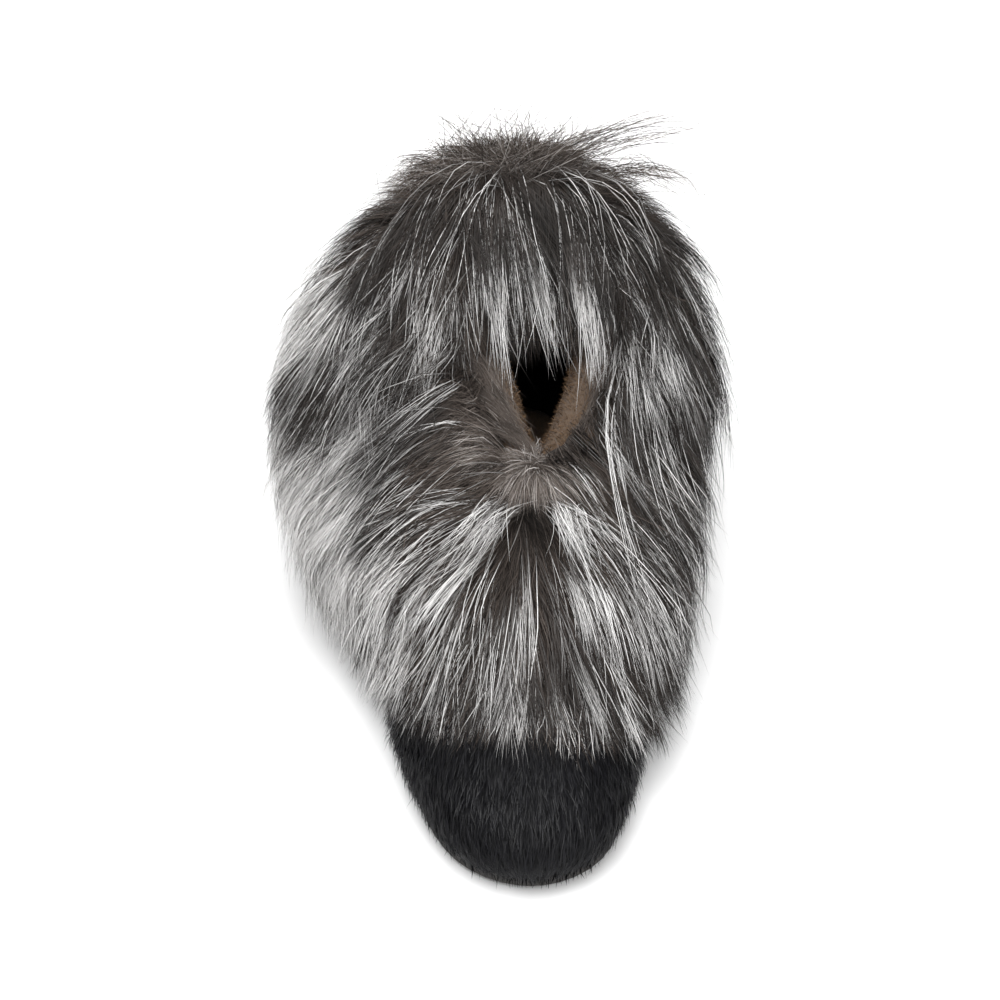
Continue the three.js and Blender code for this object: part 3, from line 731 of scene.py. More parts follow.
class Finish:
    """A node material under construction."""

    def __init__(self, name, **sockets):
        self.material = bpy.data.materials.new(name)
        self.material.use_nodes = True
        self.tree = self.material.node_tree
        self.shader = self.tree.nodes["Principled BSDF"]
        for socket, value in sockets.items():
            self.shader.inputs[socket.replace("_", " ")].default_value = value

    def fill(self, socket, value):
        """Links a socket to a node, or sets its value."""
        if isinstance(value, bpy.types.NodeSocket):
            self.tree.links.new(value, socket)
        else:
            socket.default_value = value

    def node(self, kind, settings=None, **inputs):
        """Adds a node, sets its options and fills its inputs."""
        made = self.tree.nodes.new(kind)
        for option, value in (settings or {}).items():
            setattr(made, option, value)
        for key, value in inputs.items():
            self.fill(made.inputs[key], value)
        return made

    def noise(self, scale, detail):
        """A soft noise over the surface."""
        return self.node("ShaderNodeTexNoise", Scale=scale, Detail=detail).outputs[0]

    def math(self, operation, *values):
        """A number worked out from others."""
        made = self.node("ShaderNodeMath", {"operation": operation})
        for socket, value in zip(made.inputs, values):
            self.fill(socket, value)
        return made.outputs[0]

    def ramp(self, factor, stops):
        """A colour ramp: stops are pairs of place and colour."""
        made = self.node("ShaderNodeValToRGB", Fac=factor)
        elements = made.color_ramp.elements
        while len(elements) < len(stops):
            elements.new(0.5)
        for element, (place, colour) in zip(elements, stops):
            element.position = place
            element.color = (*colour, 1)
        return made.outputs[0]

    def mix(self, factor, first, second, blend="MIX"):
        """Two colours mixed."""
        made = self.node("ShaderNodeMix", {"data_type": "RGBA", "blend_type": blend})
        for index, value in ((0, factor), (6, first), (7, second)):
            self.fill(made.inputs[index], value)
        return made.outputs[2]

    def to(self, socket, value):
        """Links a value to a socket of the shader."""
        self.tree.links.new(value, self.shader.inputs[socket])

    def hair_place(self):
        """Silver level, variety and place along the hair, each from 0 to 1."""
        place = self.node("ShaderNodeUVMap", {"uv_map": HAIR_MAP}).outputs[0]
        across, along, _ = self.node("ShaderNodeSeparateXYZ", Vector=place).outputs
        cell = self.math("FLOOR", self.math("MULTIPLY", across, CELLS))
        level = self.math("FLOOR", self.math("DIVIDE", cell, VARIETIES))
        silver = self.math("DIVIDE", level, SILVER_LEVELS - 1)
        variety = self.math("DIVIDE", self.math("MODULO", cell, VARIETIES), VARIETIES - 1)
        return silver, variety, along


def tint(colour, *amounts):
    """A colour times one amount, or times one for each channel."""
    amounts = amounts * 3 if len(amounts) == 1 else amounts
    return tuple(c * amount for c, amount in zip(colour, amounts))


def tones(colour, stops):
    """Stops of a ramp through tones of one colour."""
    return [(place, tint(colour, amount)) for place, amount in stops]


def guard_finish(props):
    """Long guard hairs: dark ones, silver ones with a white band before a black tip, and white strands."""
    finish = Finish("guard_hair", Roughness=0.5, Specular_IOR_Level=0.25)
    silver, variety, along = finish.hair_place()
    shifted = finish.math("ADD", along, finish.math("MULTIPLY_ADD", variety, BAND_SHIFT, -BAND_SHIFT / 2))
    white, black, taupe = tuple(props.white), tuple(props.black), tuple(props.taupe)
    roots = tones(taupe, [(0.0, 0.4), (0.2, 0.8)])
    band = tones(white, [(0.32, 0.4), (0.42, 1.0), (0.88, 1.0)])
    banded = finish.ramp(shifted, [*roots, *band, (0.95, tint(taupe, 0.8)), (1.0, black)])
    dark = finish.ramp(shifted, tones(taupe, [(0.0, 0.3), (0.35, 0.58), (0.65, 0.32), (1.0, 0.08)]))
    length = tones(white, [(0.0, 0.15), (0.15, 0.6), (0.3, 1.0), (0.9, 1.0)])
    pale = finish.ramp(shifted, [*length, (1.0, tint(taupe, 0.8))])
    coat = finish.mix(silver, dark, banded)
    finish.to("Base Color", finish.mix(finish.math("GREATER_THAN", silver, STRAND_LEVEL), coat, pale))
    return finish.material


def underfur_finish(props):
    """Soft taupe wool, darker at its roots."""
    finish = Finish("underfur", Roughness=0.8, Specular_IOR_Level=0.15)
    silver, variety, along = finish.hair_place()
    taupe = tuple(props.taupe)
    tips = finish.ramp(silver, [
        *tones(taupe, [(0.0, 0.2), (0.35, 1.1)]),
        (0.75, tint(taupe, 2.6, 2.75, 2.85)), (1.0, tint(taupe, 8.0, 9.3, 10.3))])
    depth = finish.ramp(along, tones(GREY, [(0.0, 0.3), (0.45, 0.65), (1.0, 1.0)]))
    tone = finish.mix(1.0, tips, depth, "MULTIPLY")
    shade = finish.ramp(variety, [(0.0, (0.75, 0.73, 0.71)), (1.0, (1.15, 1.13, 1.11))])
    finish.to("Base Color", finish.mix(1.0, tone, shade, "MULTIPLY"))
    return finish.material


def short_hair_finish(name, colour, root_to_tip, shades, **sockets):
    """Short hair of one colour: darker at its roots, and of several shades."""
    finish = Finish(name, **sockets)
    _, variety, along = finish.hair_place()
    tone = finish.ramp(along, tones(colour, zip((0.0, 1.0), root_to_tip)))
    shade = finish.ramp(variety, list(zip((0.0, 1.0), shades)))
    finish.to("Base Color", finish.mix(1.0, tone, shade, "MULTIPLY"))
    return finish.material


def grain_finish(name, colour, stops, grain, bump, wear=None, patches=None, **sockets):
    """A surface with a fine grain. stops: tones of the colour through the grain, or through the wear.

    grain, wear and patches: scale and detail of their noise. bump: strength and depth of the grain.
    """
    finish = Finish(name, **sockets)
    fine = finish.noise(*grain)
    tone = finish.ramp(finish.noise(*wear) if wear else fine, tones(colour, stops))
    if patches:
        broad = finish.ramp(finish.noise(*patches), [(0.3, (0.75, 0.74, 0.73)), (0.7, (1.1, 1.1, 1.1))])
        tone = finish.mix(1.0, tone, broad, "MULTIPLY")
    finish.to("Base Color", tone)
    strength, depth = bump
    raised = finish.node("ShaderNodeBump", Strength=strength, Distance=depth, Height=fine)
    finish.to("Normal", raised.outputs[0])
    return finish.material


def plush_finish(name, brown):
    """Brown plush: a soft nap with uneven tone."""
    return grain_finish(
        name, brown, [(0.3, 0.55), (0.7, 1.1)], grain=(700.0, 5.0), bump=(0.7, 0.0008), patches=(60.0, 3.0),
        Roughness=0.95, Specular_IOR_Level=0.1, Sheen_Weight=0.12)


class FurSettings(bpy.types.PropertyGroup):
    """Sizes and colours of the long fur."""

    guard_length: bpy.props.FloatProperty(
        name="Guard hair length", description="Length of the long outer hairs, in millimetres", default=64.0)
    under_length: bpy.props.FloatProperty(
        name="Underfur length", description="Length of the soft wool, in millimetres", default=27.0)
    guard_width: bpy.props.FloatProperty(
        name="Guard hair width", description="Width of a guard hair", default=0.31 * MM, unit="LENGTH")
    under_width: bpy.props.FloatProperty(
        name="Underfur width", description="Width of a wool strand", default=0.3 * MM, unit="LENGTH")
    white: bpy.props.FloatVectorProperty(
        name="White", description="Colour of the silver bands", subtype="COLOR", default=(0.76, 0.75, 0.74))
    taupe: bpy.props.FloatVectorProperty(
        name="Taupe", description="Colour of the wool", subtype="COLOR", default=(0.076, 0.062, 0.054))
    black: bpy.props.FloatVectorProperty(
        name="Black", description="Colour of the hair tips", subtype="COLOR", default=(0.005, 0.0045, 0.005))


class HideSettings(bpy.types.PropertyGroup):
    """Sizes and colours of the hair hide."""

    length: bpy.props.FloatProperty(
        name="Hair length", description="Length of the short hide hair, in millimetres", default=8.0)
    width: bpy.props.FloatProperty(
        name="Hair width", description="Width of a hide hair", default=0.36 * MM, unit="LENGTH")
    count: bpy.props.IntProperty(name="Hairs", description="Number of hide hairs", default=30000)
    colour: bpy.props.FloatVectorProperty(
        name="Colour", description="Colour of the hide and its hair", subtype="COLOR",
        default=(0.0038, 0.0038, 0.0048))


class LiningSettings(bpy.types.PropertyGroup):
    """Sizes and colours of the plush lining."""

    colour: bpy.props.FloatVectorProperty(
        name="Colour", description="Colour of the plush", subtype="COLOR", default=(0.146, 0.091, 0.053))
    # The same plush painted about twice as light, to make up for the shade inside the shoe: painted light.
    inside: bpy.props.FloatVectorProperty(
        name="Inside", description="Colour of the plush inside the shoe", subtype="COLOR",
        default=(0.36, 0.25, 0.17))
    pile_length: bpy.props.FloatProperty(
        name="Pile length", description="Length of the plush's hairs, in millimetres", default=2.6)
    pile_count: bpy.props.IntProperty(
        name="Pile hairs", description="Number of plush hairs on each side", default=5000)


class SoleSettings(bpy.types.PropertyGroup):
    """Colours of the sole."""

    colour: bpy.props.FloatVectorProperty(
        name="Colour", description="Colour of the rubber", subtype="COLOR", default=(0.03, 0.027, 0.025))


class StageSettings(bpy.types.PropertyGroup):
    """The floor, the light and the camera."""

    elevation: bpy.props.FloatProperty(
        name="Elevation", description="Camera's height angle", subtype="ANGLE", default=math.radians(47))
    distance: bpy.props.FloatProperty(
        name="Distance", description="Camera's distance", unit="LENGTH", default=1.15)
    pixels_per_mm: bpy.props.FloatProperty(
        name="Scale", description="Pixels for a millimetre at the slipper, in a frame of 1000", default=2.6)
    floor: bpy.props.FloatVectorProperty(
        name="Floor", description="Colour of the floor", subtype="COLOR", default=(0.92, 0.92, 0.92))


def zone_sum(points, base, zones):
    """A base value and what zones add to it, at places seen from the camera's side."""
    across = (points[:, 0] - AXIS_X) / MM
    up = (VIEW_ALONG * (points[:, 1] - TOE_Y) + VIEW_HEIGHT * points[:, 2]) / MM + VIEW_SHIFT
    total = np.full(len(points), base)
    for middle, level, wide, tall, add in zones:
        total = total + add * np.exp(-(((across - middle) / wide) ** 2 + ((up - level) / tall) ** 2))
    return total


def silver_chart(points):
    """The share of white hair at places in the fur, from 0 to 1."""
    back = smoothstep(points[:, 1], TOE_Y + BACK_FROM * MM, TOE_Y + BACK_TO * MM)
    front = zone_sum(points, SILVER_BASE, SILVER_ZONES)
    return front * (1 - back) + SILVER_BACK * back


def wool_chart(points):
    """How pale the wool is at places in the fur, from 0 to 1."""
    return zone_sum(points, WOOL_BASE, WOOL_ZONES)


def hair_cells(rng, silver):
    """Colour cells for hairs of a given silver level, 0 to 1."""
    level = np.clip(np.round(silver * (SILVER_LEVELS - 1)), 0, SILVER_LEVELS - 1)
    return level * VARIETIES + rng.integers(0, VARIETIES, len(silver))


def mixed_cells(rng, count, tone, mix):
    """Colour cells for hairs that vary about a tone."""
    return hair_cells(rng, np.clip(tone + mix * rng.normal(0, 1, count), 0, 1))


def near_throat(turn, way):
    """1 at the throat's point, falling to 0 away from it."""
    return (1 - smoothstep(np.abs(wrapped(turn)), *THROAT_TURNS)) * (1 - smoothstep(way, *THROAT_WAYS))


def coat_swing(turn, way):
    """How far the outer coat's hairs lean round the foot, in degrees, positive towards +turn."""
    turn = wrapped(turn)
    size = np.abs(turn)
    places, *sides = zip(*SWING)
    back = smoothstep(size, *SWING_BACK)
    high = (1 - back) * (1 - smoothstep(way, *SWING_TOP)) + back * (1 - smoothstep(way, *SWING_TOP_BACK))
    leans = []
    for side in sides:
        top, low = (np.interp(size, places, column) for column in zip(*side))
        leans.append(low + (top - low) * high)
    return -np.sign(turn) * np.where(turn < 0, *leans)


class SLIPPER_OT_sole(bpy.types.Operator):
    """Finishes the outsole"""

    bl_idname = "slipper.sole"
    bl_label = "Sole"

    def execute(self, context):
        rubber = grain_finish(
            "sole_rubber", tuple(context.scene.slipper_sole.colour), [(0.35, 0.75), (0.7, 1.5)],
            grain=(1400.0, 3.0), bump=(0.5, 0.0004), wear=(45.0, 5.0), Roughness=0.8)
        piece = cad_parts["outsole"]
        piece.data.materials.clear()
        piece.data.materials.append(rubber)
        return {"FINISHED"}


class SLIPPER_OT_hide(bpy.types.Operator):
    """Covers the toe and the lower sides with short black hair"""

    bl_idname = "slipper.hide"
    bl_label = "Hair hide"

    def execute(self, context):
        props = context.scene.slipper_hide
        black = tuple(props.colour)
        skin = grain_finish(
            "hide", black, [(0.3, 0.6), (0.7, 1.2)], grain=(900.0, 4.0), bump=(0.4, 0.0003),
            Roughness=0.7, Specular_IOR_Level=0.2)
        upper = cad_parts["upper"]
        upper.data.materials.clear()
        upper.data.materials.append(skin)
        rng = np.random.default_rng(11)
        roots, normals = hide_roots(upper.data, rng, props.count)
        points, facing = hide_strokes(roots, normals, rng, props.length)
        cells = hair_cells(rng, rng.random(len(roots)))
        width = props.width * rng.uniform(*WIDTHS, len(roots))
        piece = ribbons("toe_hair", points, facing, width, cells, rng, twist=0.7, soften=0.3)
        hair = short_hair_finish(
            "hide_hair", black, (0.5, 1.3), ((0.4, 0.4, 0.42), (1.9, 1.9, 2.0)),
            Roughness=0.45, Specular_IOR_Level=0.2)
        settle(piece, hair)
        return {"FINISHED"}


def hide_roots(mesh, rng, count):
    """Random places on the outside of the upper that the long fur leaves bare, with their normals."""
    corners = np.empty(len(mesh.vertices) * 3)
    mesh.vertices.foreach_get("co", corners)
    corners = corners.reshape(-1, 3)
    mesh.calc_loop_triangles()
    triangles = np.empty(len(mesh.loop_triangles) * 3, int)
    mesh.loop_triangles.foreach_get("vertices", triangles)
    a, b, c = (corners[triangles.reshape(-1, 3)[:, k]] for k in range(3))
    cross = np.cross(b - a, c - a)
    area = np.linalg.norm(cross, axis=1) / 2
    normal = unit(cross)
    middle = (a + b + c) / 3
    front, back = HIDE_SPINE
    centre = np.stack([
        np.full(len(middle), AXIS_X), np.clip(middle[:, 1], TOE_Y + front, TOE_Y + back),
        np.minimum(middle[:, 2], HIDE_MIDDLE)], axis=-1)
    outside = np.sum(normal * (middle - centre), axis=1) > 0
    bare = ((middle[:, 1] - TOE_Y) / MM < BARE_ALONG) | (middle[:, 2] / MM < BARE_HEIGHT)
    share = area * outside * bare
    picked = rng.choice(len(share), size=count, p=share / share.sum())
    u, v = rng.random(count), rng.random(count)
    flip = u + v > 1
    u, v = np.where(flip, 1 - u, u), np.where(flip, 1 - v, v)
    roots = a[picked] + (b - a)[picked] * u[:, None] + (c - a)[picked] * v[:, None]
    return roots, normal[picked]


def hide_strokes(roots, normals, rng, length):
    """Short hairs that lie towards the toe and the floor."""
    count = len(roots)
    along = (roots[:, 1] - TOE_Y) / MM
    ahead = -1 + HIDE_AHEAD * smoothstep(along, *HIDE_AHEAD_TO)
    sideways = HIDE_SIDEWAYS * rng.normal(0, 1, count)
    forward = np.stack([sideways, ahead, np.full(count, HIDE_DOWN)], axis=-1)
    flow = unit(forward - normals * np.sum(forward * normals, axis=1, keepdims=True))
    flow = unit(flow + HIDE_STRAY * rng.normal(0, 1, (count, 3)))
    size = length * MM * rng.uniform(*HIDE_LENGTHS, count)
    size = size * (HIDE_SHORTEST + (1 - HIDE_SHORTEST) * smoothstep(roots[:, 2] / MM, *HIDE_SHORT_TO))
    s = np.linspace(0, 1, HIDE_KNOTS)[None, :, None]
    side = smoothstep(np.abs(normals[:, 0]), *HIDE_SIDE_FACING) * smoothstep(along, *HIDE_SIDE_FROM)
    rise = normals * (rng.uniform(*HIDE_RISE, count) + HIDE_SIDE_RISE * side)[:, None]
    start, drop = HIDE_CURVE
    arc = flow[:, None] * s ** HIDE_BEND + rise[:, None] * s * (start - drop * s)
    return roots[:, None] + size[:, None, None] * arc, np.repeat(normals[:, None], HIDE_KNOTS, axis=1)


class SLIPPER_OT_fur(bpy.types.Operator):
    """Grows the long fur of the cuff and its fall over the opening"""

    bl_idname = "slipper.fur"
    bl_label = "Long fur"

    def execute(self, context):
        props = context.scene.slipper_fur
        coat, fall = outer_coat(), fall_coat()
        guard, wool = guard_finish(props), underfur_finish(props)
        dense = grain_finish(
            "fur_bed", tuple(props.taupe), [(0.3, 0.25), (0.75, 0.8)], grain=(320.0, 6.0), bump=(0.8, 0.002),
            Roughness=0.95)
        over, over_fall = guard_plan(props), guard_fall_plan(props)
        thin = STRAND_WIDTH * props.guard_width
        pieces = [settle(fur_bed(coat, fall), dense)]
        for name, layer, seed, plan, width, finish in (
                ("fur_wool_a", coat, 21, wool_plan(props), props.under_width, wool),
                ("fur_wool_b", coat, 25, wool_plan(props), props.under_width, wool),
                ("fur_guard_a", coat, 31, over, props.guard_width, guard),
                ("fur_guard_b", coat, 41, over, props.guard_width, guard),
                ("fur_wool_fall", fall, 51, wool_fall_plan(props), props.under_width, wool),
                ("fur_guard_fall", fall, 61, over_fall, props.guard_width, guard),
                ("fur_strands", coat, 71, strand_plan(over, STRANDS), thin, guard),
                ("fur_strands_fall", fall, 77, strand_plan(over_fall, FALL_STRANDS), thin, guard)):
            pieces.append(settle(grow(name, layer, seed, plan, width), finish))
        for piece in pieces:
            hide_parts("fur_cuff")
        return {"FINISHED"}


def ways_share(low, high):
    """Roots spread evenly between two ways."""
    return lambda coat: ((coat.places()[1] >= low) & (coat.places()[1] < high)).astype(float)


def between(way, low, high):
    """Whether places lie between two ways."""
    return (way > low) & (way < high)


def guard_share(coat):
    """Guard hairs root from the lip to the lower side, close where it is silver and few at the throat."""
    turn, way = coat.places()
    ahead = np.minimum(way + GUARD_AHEAD, WAY_TIP)
    silver = silver_chart(coat.read(coat.outside, turn.ravel(), ahead.ravel())).reshape(turn.shape)
    close = between(way, *GUARD_ROOTS) * (GUARD_LEAST + np.clip(silver, 0, 1))
    return close * (1 - GUARD_THROAT_THIN * near_throat(turn, way))


def wool_share(coat):
    """Wool grows everywhere, closest round the throat."""
    turn, way = coat.places()
    return between(way, *WOOL_ROOTS) * (1 + WOOL_THROAT_MORE * near_throat(turn, way))


def fall_share(coat):
    """The fall's guard hairs root near the crown, and on both sides of the opening lower down too."""
    across, way = coat.places()
    middle, further = FALL_ROOTS
    return (way < middle + further * smoothstep(np.abs(across), *FALL_MIDDLE)).astype(float)


def puff(turn, way):
    """How far the wool stands up round the crown, mm."""
    return PUFF * smoothstep(np.abs(wrapped(turn)), *PUFF_TURNS) * (1 - smoothstep(way, *PUFF_WAYS))


def flare(turn):
    """How far the hair stands out on the outer side of the foot and at the back of the inner side, mm."""
    turn = wrapped(turn)
    outer, inner = (
        smoothstep(size, *begins) * (1 - smoothstep(size, *ends))
        for size, (begins, ends) in ((-turn, FLARE_OUTER), (turn, FLARE_INNER)))
    return FLARE * (outer + inner)


def guard_plan(props):
    """How the long guard hairs of the outer coat lie, in mm, degrees and ways. Depths are below its outside.

    uneven: how much locks differ in hairs. throat_cut: how much shorter hairs are at the throat. end: where
    locks end on the coat. ends: where hairs end along their lock. swing, flare, puff: how much of each they
    follow. spread, stray: how far locks and hairs turn aside. loners: the share of lone hairs. stiff: how
    straight the tips are. gather, wide, deep: how far a lock narrows, and its half size. lock_mix, hair_mix:
    how much locks and hairs differ in colour. split: where dark hair turns white. most: the palest level.
    """
    return {
        "locks": 1100, "hairs": 17000, "knots": 6, "share": guard_share, "uneven": 0.6,
        "length": props.guard_length, "throat_cut": 0.6, "shortest": 8,
        "end": COAT_ENDS, "end_spread": 0.16, "ends": (0.72, 1.0),
        "swing": 1, "spread": 7, "stray": 3.5, "loners": 0.14,
        "root": 16, "tip": 0, "flare": 1, "puff": 0, "tip_spread": 2.2,
        "stiff": 0.45, "gather": 0.75, "wide": 1.8, "deep": 1.2, "ripple": 0.4,
        "silver": silver_chart, "lock_mix": 0.29, "hair_mix": 0.1, "split": (0.3, 0.7), "most": 0.87,
    }


def wool_plan(props):
    """How the soft wool of the outer coat lies."""
    return {
        **guard_plan(props), "locks": 3500, "hairs": 34000, "knots": 3, "share": wool_share, "uneven": 0.4,
        "length": props.under_length, "throat_cut": 0.4, "shortest": 6, "end": {0: 1.2},
        "spread": 8, "stray": 6, "root": 15, "tip": 4, "flare": 0.7, "puff": 1, "tip_spread": 1.5,
        "stiff": 0.3, "gather": 0.3, "wide": 2.2, "deep": 1.0,
        "silver": wool_chart, "lock_mix": 0.11, "hair_mix": 0.08, "split": (-0.001, 1.0), "most": 1.0,
    }


def guard_fall_plan(props):
    """The guard hairs of the fall over the opening."""
    return {
        **guard_plan(props), **HANGING, "locks": 300, "hairs": 10000, "share": fall_share,
        "end": FALL_ENDS, "end_spread": 0.11, "gather": 0.82, "wide": 2.6, "lock_mix": 0.2,
    }


def wool_fall_plan(props):
    """The wool of the fall over the opening."""
    return {
        **wool_plan(props), **HANGING, "locks": 1200, "hairs": 30000, "share": ways_share(0, 0.72),
        "end": {0: 0.88}, "end_spread": 0.06, "tip": 3,
    }


def strand_plan(plan, hairs):
    """Long single strands that lie over the rest, from the crown down."""
    return {
        **plan, "locks": hairs // 2, "hairs": hairs, "knots": 9, "share": ways_share(-0.05, 0.3),
        "uneven": 0.5, "length": STRAND_LENGTH, "throat_cut": 0, "spread": 8, "stray": 1.5,
        "root": 4, "tip": -1, "flare": 0, "tip_spread": 1.5,
        "stiff": 0.08, "gather": 0.2, "wide": 2.5, "deep": 0.8, "ripple": 0.9,
        "silver": lambda points: np.full(len(points), STRAND_SILVER), "most": 1.0,
    }


def grid_faces(rows, columns, ring, tube):
    """Faces of a grid of corners. ring: its last row joins the first. tube: its last column does too."""
    index = np.arange(rows * columns).reshape(rows, columns)
    index = np.concatenate([index, index[:1]]) if ring else index
    index = np.concatenate([index, index[:, :1]], axis=1) if tube else index
    quads = [index[:-1, :-1], index[:-1, 1:], index[1:, 1:], index[1:, :-1]]
    return np.stack(quads, axis=-1).reshape(-1, 4).tolist()


def closed_layer(outer, inner, ring):
    """Corners and faces of a closed layer between two grids of points. ring: its rows close on themselves."""
    loop = np.concatenate([outer, inner[:, ::-1]], axis=1)
    n, m, _ = loop.shape
    faces = grid_faces(n, m, ring, True)
    if not ring:
        faces += [list(range(m))[::-1], list(range((n - 1) * m, n * m))]
    return loop.reshape(-1, 3), faces


def fur_bed(coat, fall):
    """The dense wool deep in the fur: a ring round the foot, and a sheet in the fall over the opening."""
    turn, way = np.meshgrid(TURNS[:-1:2], BED_WAYS, indexing="ij")
    skin = np.full(turn.shape, TO_THE_SKIN)
    under = (BED_BELOW + BED_HEM_BELOW * smoothstep(way, *BED_HEM)) * MM
    corners, faces = closed_layer(coat.place(turn, way, under), coat.place(turn, way, skin), True)
    across, way = np.meshgrid(BED_FALL_ACROSS, BED_FALL_WAYS, indexing="ij")
    way = way * (1 - BED_FALL_CUT * (1 - smoothstep(np.abs(across), *FALL_MIDDLE)))
    upper, lower = (
        fall.place(across, way, np.full(way.shape, below)) for below in (BED_FALL_BELOW, TO_THE_SKIN))
    more, others = closed_layer(upper, lower, False)
    faces = faces + [[k + len(corners) for k in face] for face in others]
    return smooth_piece("fur_bed", np.concatenate([corners, more]), faces)


def lining_rows(turns):
    """Points of the plush lining: from under the lip down the inside of the upper."""
    tree = node_tree("upper")
    rows = []
    lips = cuff_profiles(turns, spilt=False)[:, LIP]
    for turn, lip, sink, depth in zip(turns, lips, by_turn(LINING_SINK, turns), by_turn(LINING_DEPTH, turns)):
        reach, height = lip[0], lip[1] - sink
        section = [(reach + out, height + up) for out, up in LINING_ROLL]
        free = 1 - smoothstep(abs(turn), *LINING_FREE)
        for share in LINING_ROWS:
            low = section[len(LINING_ROLL) - 1][1] - share * depth
            wall = skin_reach(tree, turn, low)
            wall = reach if wall is None else wall - LINING_INSET
            section.append((wall * (1 - free) + reach * free, low))
        rows.append([cuff_place(turn, r, z) for r, z in section])
    return np.array(rows)


def plush_rows(side):
    """Points of the plush on one side of the slit: rows along it, each from under the fur into the shoe."""
    lines = [np.array([PLUSH[side][line]], float) for line in ("edge", "rim")]
    at = np.linspace(0, lines[0].shape[1] - 1, PLUSH_STEPS)[None]
    edge, rim = (spline(line, at)[0] for line in lines)
    out = unit((rim - edge) * (1 - UP))
    section = [edge + share * (rim - edge) + outward * out + up * UP for share, outward, up in PLUSH_SECTION]
    rows = np.stack(section, axis=1) * MM + ORIGIN
    return rows if side == "inner" else rows[::-1]


class SLIPPER_OT_lining(bpy.types.Operator):
    """Lines the opening with short brown plush and pads the insole"""

    bl_idname = "slipper.lining"
    bl_label = "Lining"

    def execute(self, context):
        props = context.scene.slipper_lining
        brown = tuple(props.colour)
        plush = plush_finish("plush", brown)
        # The lining inside the shoe gets a lighter copy of the plush: painted light against the shade there.
        inside = plush_finish("plush_inside_painted_light", tuple(props.inside))
        pile = short_hair_finish(
            "plush_pile", brown, (0.35, 1.25), (tint(GREY, 0.55), tint(GREY, 1.25)),
            Roughness=0.9, Specular_IOR_Level=0.1)
        sheets = {"lining": (lining_rows(TURNS[:-1:3]), True)}
        sheets.update({"lining_" + side: (plush_rows(side), False) for side in PLUSH})
        for seed, (name, (rows, ring)) in enumerate(sheets.items(), 71):
            shell = smooth_piece(name, rows.reshape(-1, 3), grid_faces(*rows.shape[:2], ring, False))
            settle(shell, inside if ring else plush)
            thickness = shell.modifiers.new("thickness", "SOLIDIFY")
            thickness.thickness = PLUSH_THICKNESS
            thickness.offset = 0
            if not ring:
                rng = np.random.default_rng(seed)
                nap = pile_hairs(name + "_pile", rows, rng, props.pile_count, props.pile_length)
                settle(nap, pile)
        pad = settle(insole_pad(), plush)
        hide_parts("insole")
        return {"FINISHED"}


def pile_hairs(name, rows, rng, count, length):
    """Short soft hairs standing on a sheet of plush where it shows, leaning at random."""
    i = rng.integers(0, len(rows) - 1, count)
    j = rng.integers(*PILE_ROWS, count)
    a, b = rng.random(count)[:, None], rng.random(count)[:, None]
    near = rows[i, j] * (1 - b) + rows[i, j + 1] * b
    far = rows[i + 1, j] * (1 - b) + rows[i + 1, j + 1] * b
    roots = near * (1 - a) + far * a
    normals = unit(np.cross(rows[i, j + 1] - rows[i, j], far - near))
    slit = ORIGIN + PILE_SLIT * MM - roots
    slit[:, 2] = PILE_LIFT * np.linalg.norm(slit[:, :2], axis=1)
    normals = normals * np.sign(np.sum(normals * slit, axis=1, keepdims=True))
    lean = unit(normals + PILE_STRAY * rng.normal(0, 1, (count, 3)) + PILE_LEAN)
    s = np.linspace(0, 1, PILE_KNOTS)[None, :, None]
    size = length * MM * rng.uniform(*PILE_LENGTHS, count)
    points = roots[:, None] + lean[:, None] * s * size[:, None, None]
    cells = hair_cells(rng, rng.random(count))
    facing = np.repeat(normals[:, None], PILE_KNOTS, axis=1)
    return ribbons(name, points, facing, PILE_WIDTH * rng.uniform(*WIDTHS, count), cells, rng)


def insole_pad():
    """The insole as a crowned pad of the same outline."""
    piece = add_piece("insole_pad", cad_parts["insole"].data.copy())
    piece.data.materials.clear()
    remesh = piece.modifiers.new("even", "REMESH")
    remesh.mode = "VOXEL"
    remesh.voxel_size = PAD_VOXEL
    smooth = piece.modifiers.new("soft", "SMOOTH")
    smooth.factor, smooth.iterations = PAD_SMOOTH
    shape = piece.evaluated_get(bpy.context.evaluated_depsgraph_get())
    mesh = bpy.data.meshes.new_from_object(shape)
    piece.modifiers.clear()
    piece.data = mesh
    corners = np.array([v.co for v in mesh.vertices])
    low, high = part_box("insole")
    across = (corners[:, 0] - (low.x + high.x) / 2) / ((high.x - low.x) / 2)
    along = (corners[:, 1] - (low.y + high.y) / 2) / ((high.y - low.y) / 2)
    crown = np.clip(1 - across ** 2, 0, 1) * np.clip(1 - along ** 4, 0, 1)
    corners[:, 2] += PAD_CROWN * crown * smoothstep(corners[:, 2], low.z + PAD_EDGE, high.z)
    mesh.vertices.foreach_set("co", corners.astype(np.float32).ravel())
    mesh.polygons.foreach_set("use_smooth", np.ones(len(mesh.polygons), bool))
    mesh.update()
    return piece


class SLIPPER_OT_wisps(bpy.types.Operator):
    """Adds the loose hairs on the crown, the tufts and the wool of the lip and the whorls"""

    bl_idname = "slipper.wisps"
    bl_label = "Wisps"

    def execute(self, context):
        props = context.scene.slipper_fur
        rng = np.random.default_rng(81)
        wool, guard = underfur_finish(props), guard_finish(props)
        for name, table, tone, finish, width in (
                ("fur_wisps", WISPS, WISP_TONE, wool, WISP_WIDTH),
                ("fur_lip", LIP_WOOL, LIP_TONE, wool, WISP_WIDTH),
                ("fur_tufts", TUFTS, TUFT_TONE, guard, TUFT_WIDTH * props.guard_width)):
            points = wisp_paths(table, rng)
            normals = np.broadcast_to(WISP_FACING, points.shape)
            cells = mixed_cells(rng, len(points), *tone)
            widths = width * rng.uniform(*WISP_WIDTHS, len(points))
            settle(ribbons(name, points, normals, widths, cells, rng), finish)
        for name, spec in WHORLS.items():
            settle(whorl("fur_" + name, spec, rng), wool)
        return {"FINISHED"}


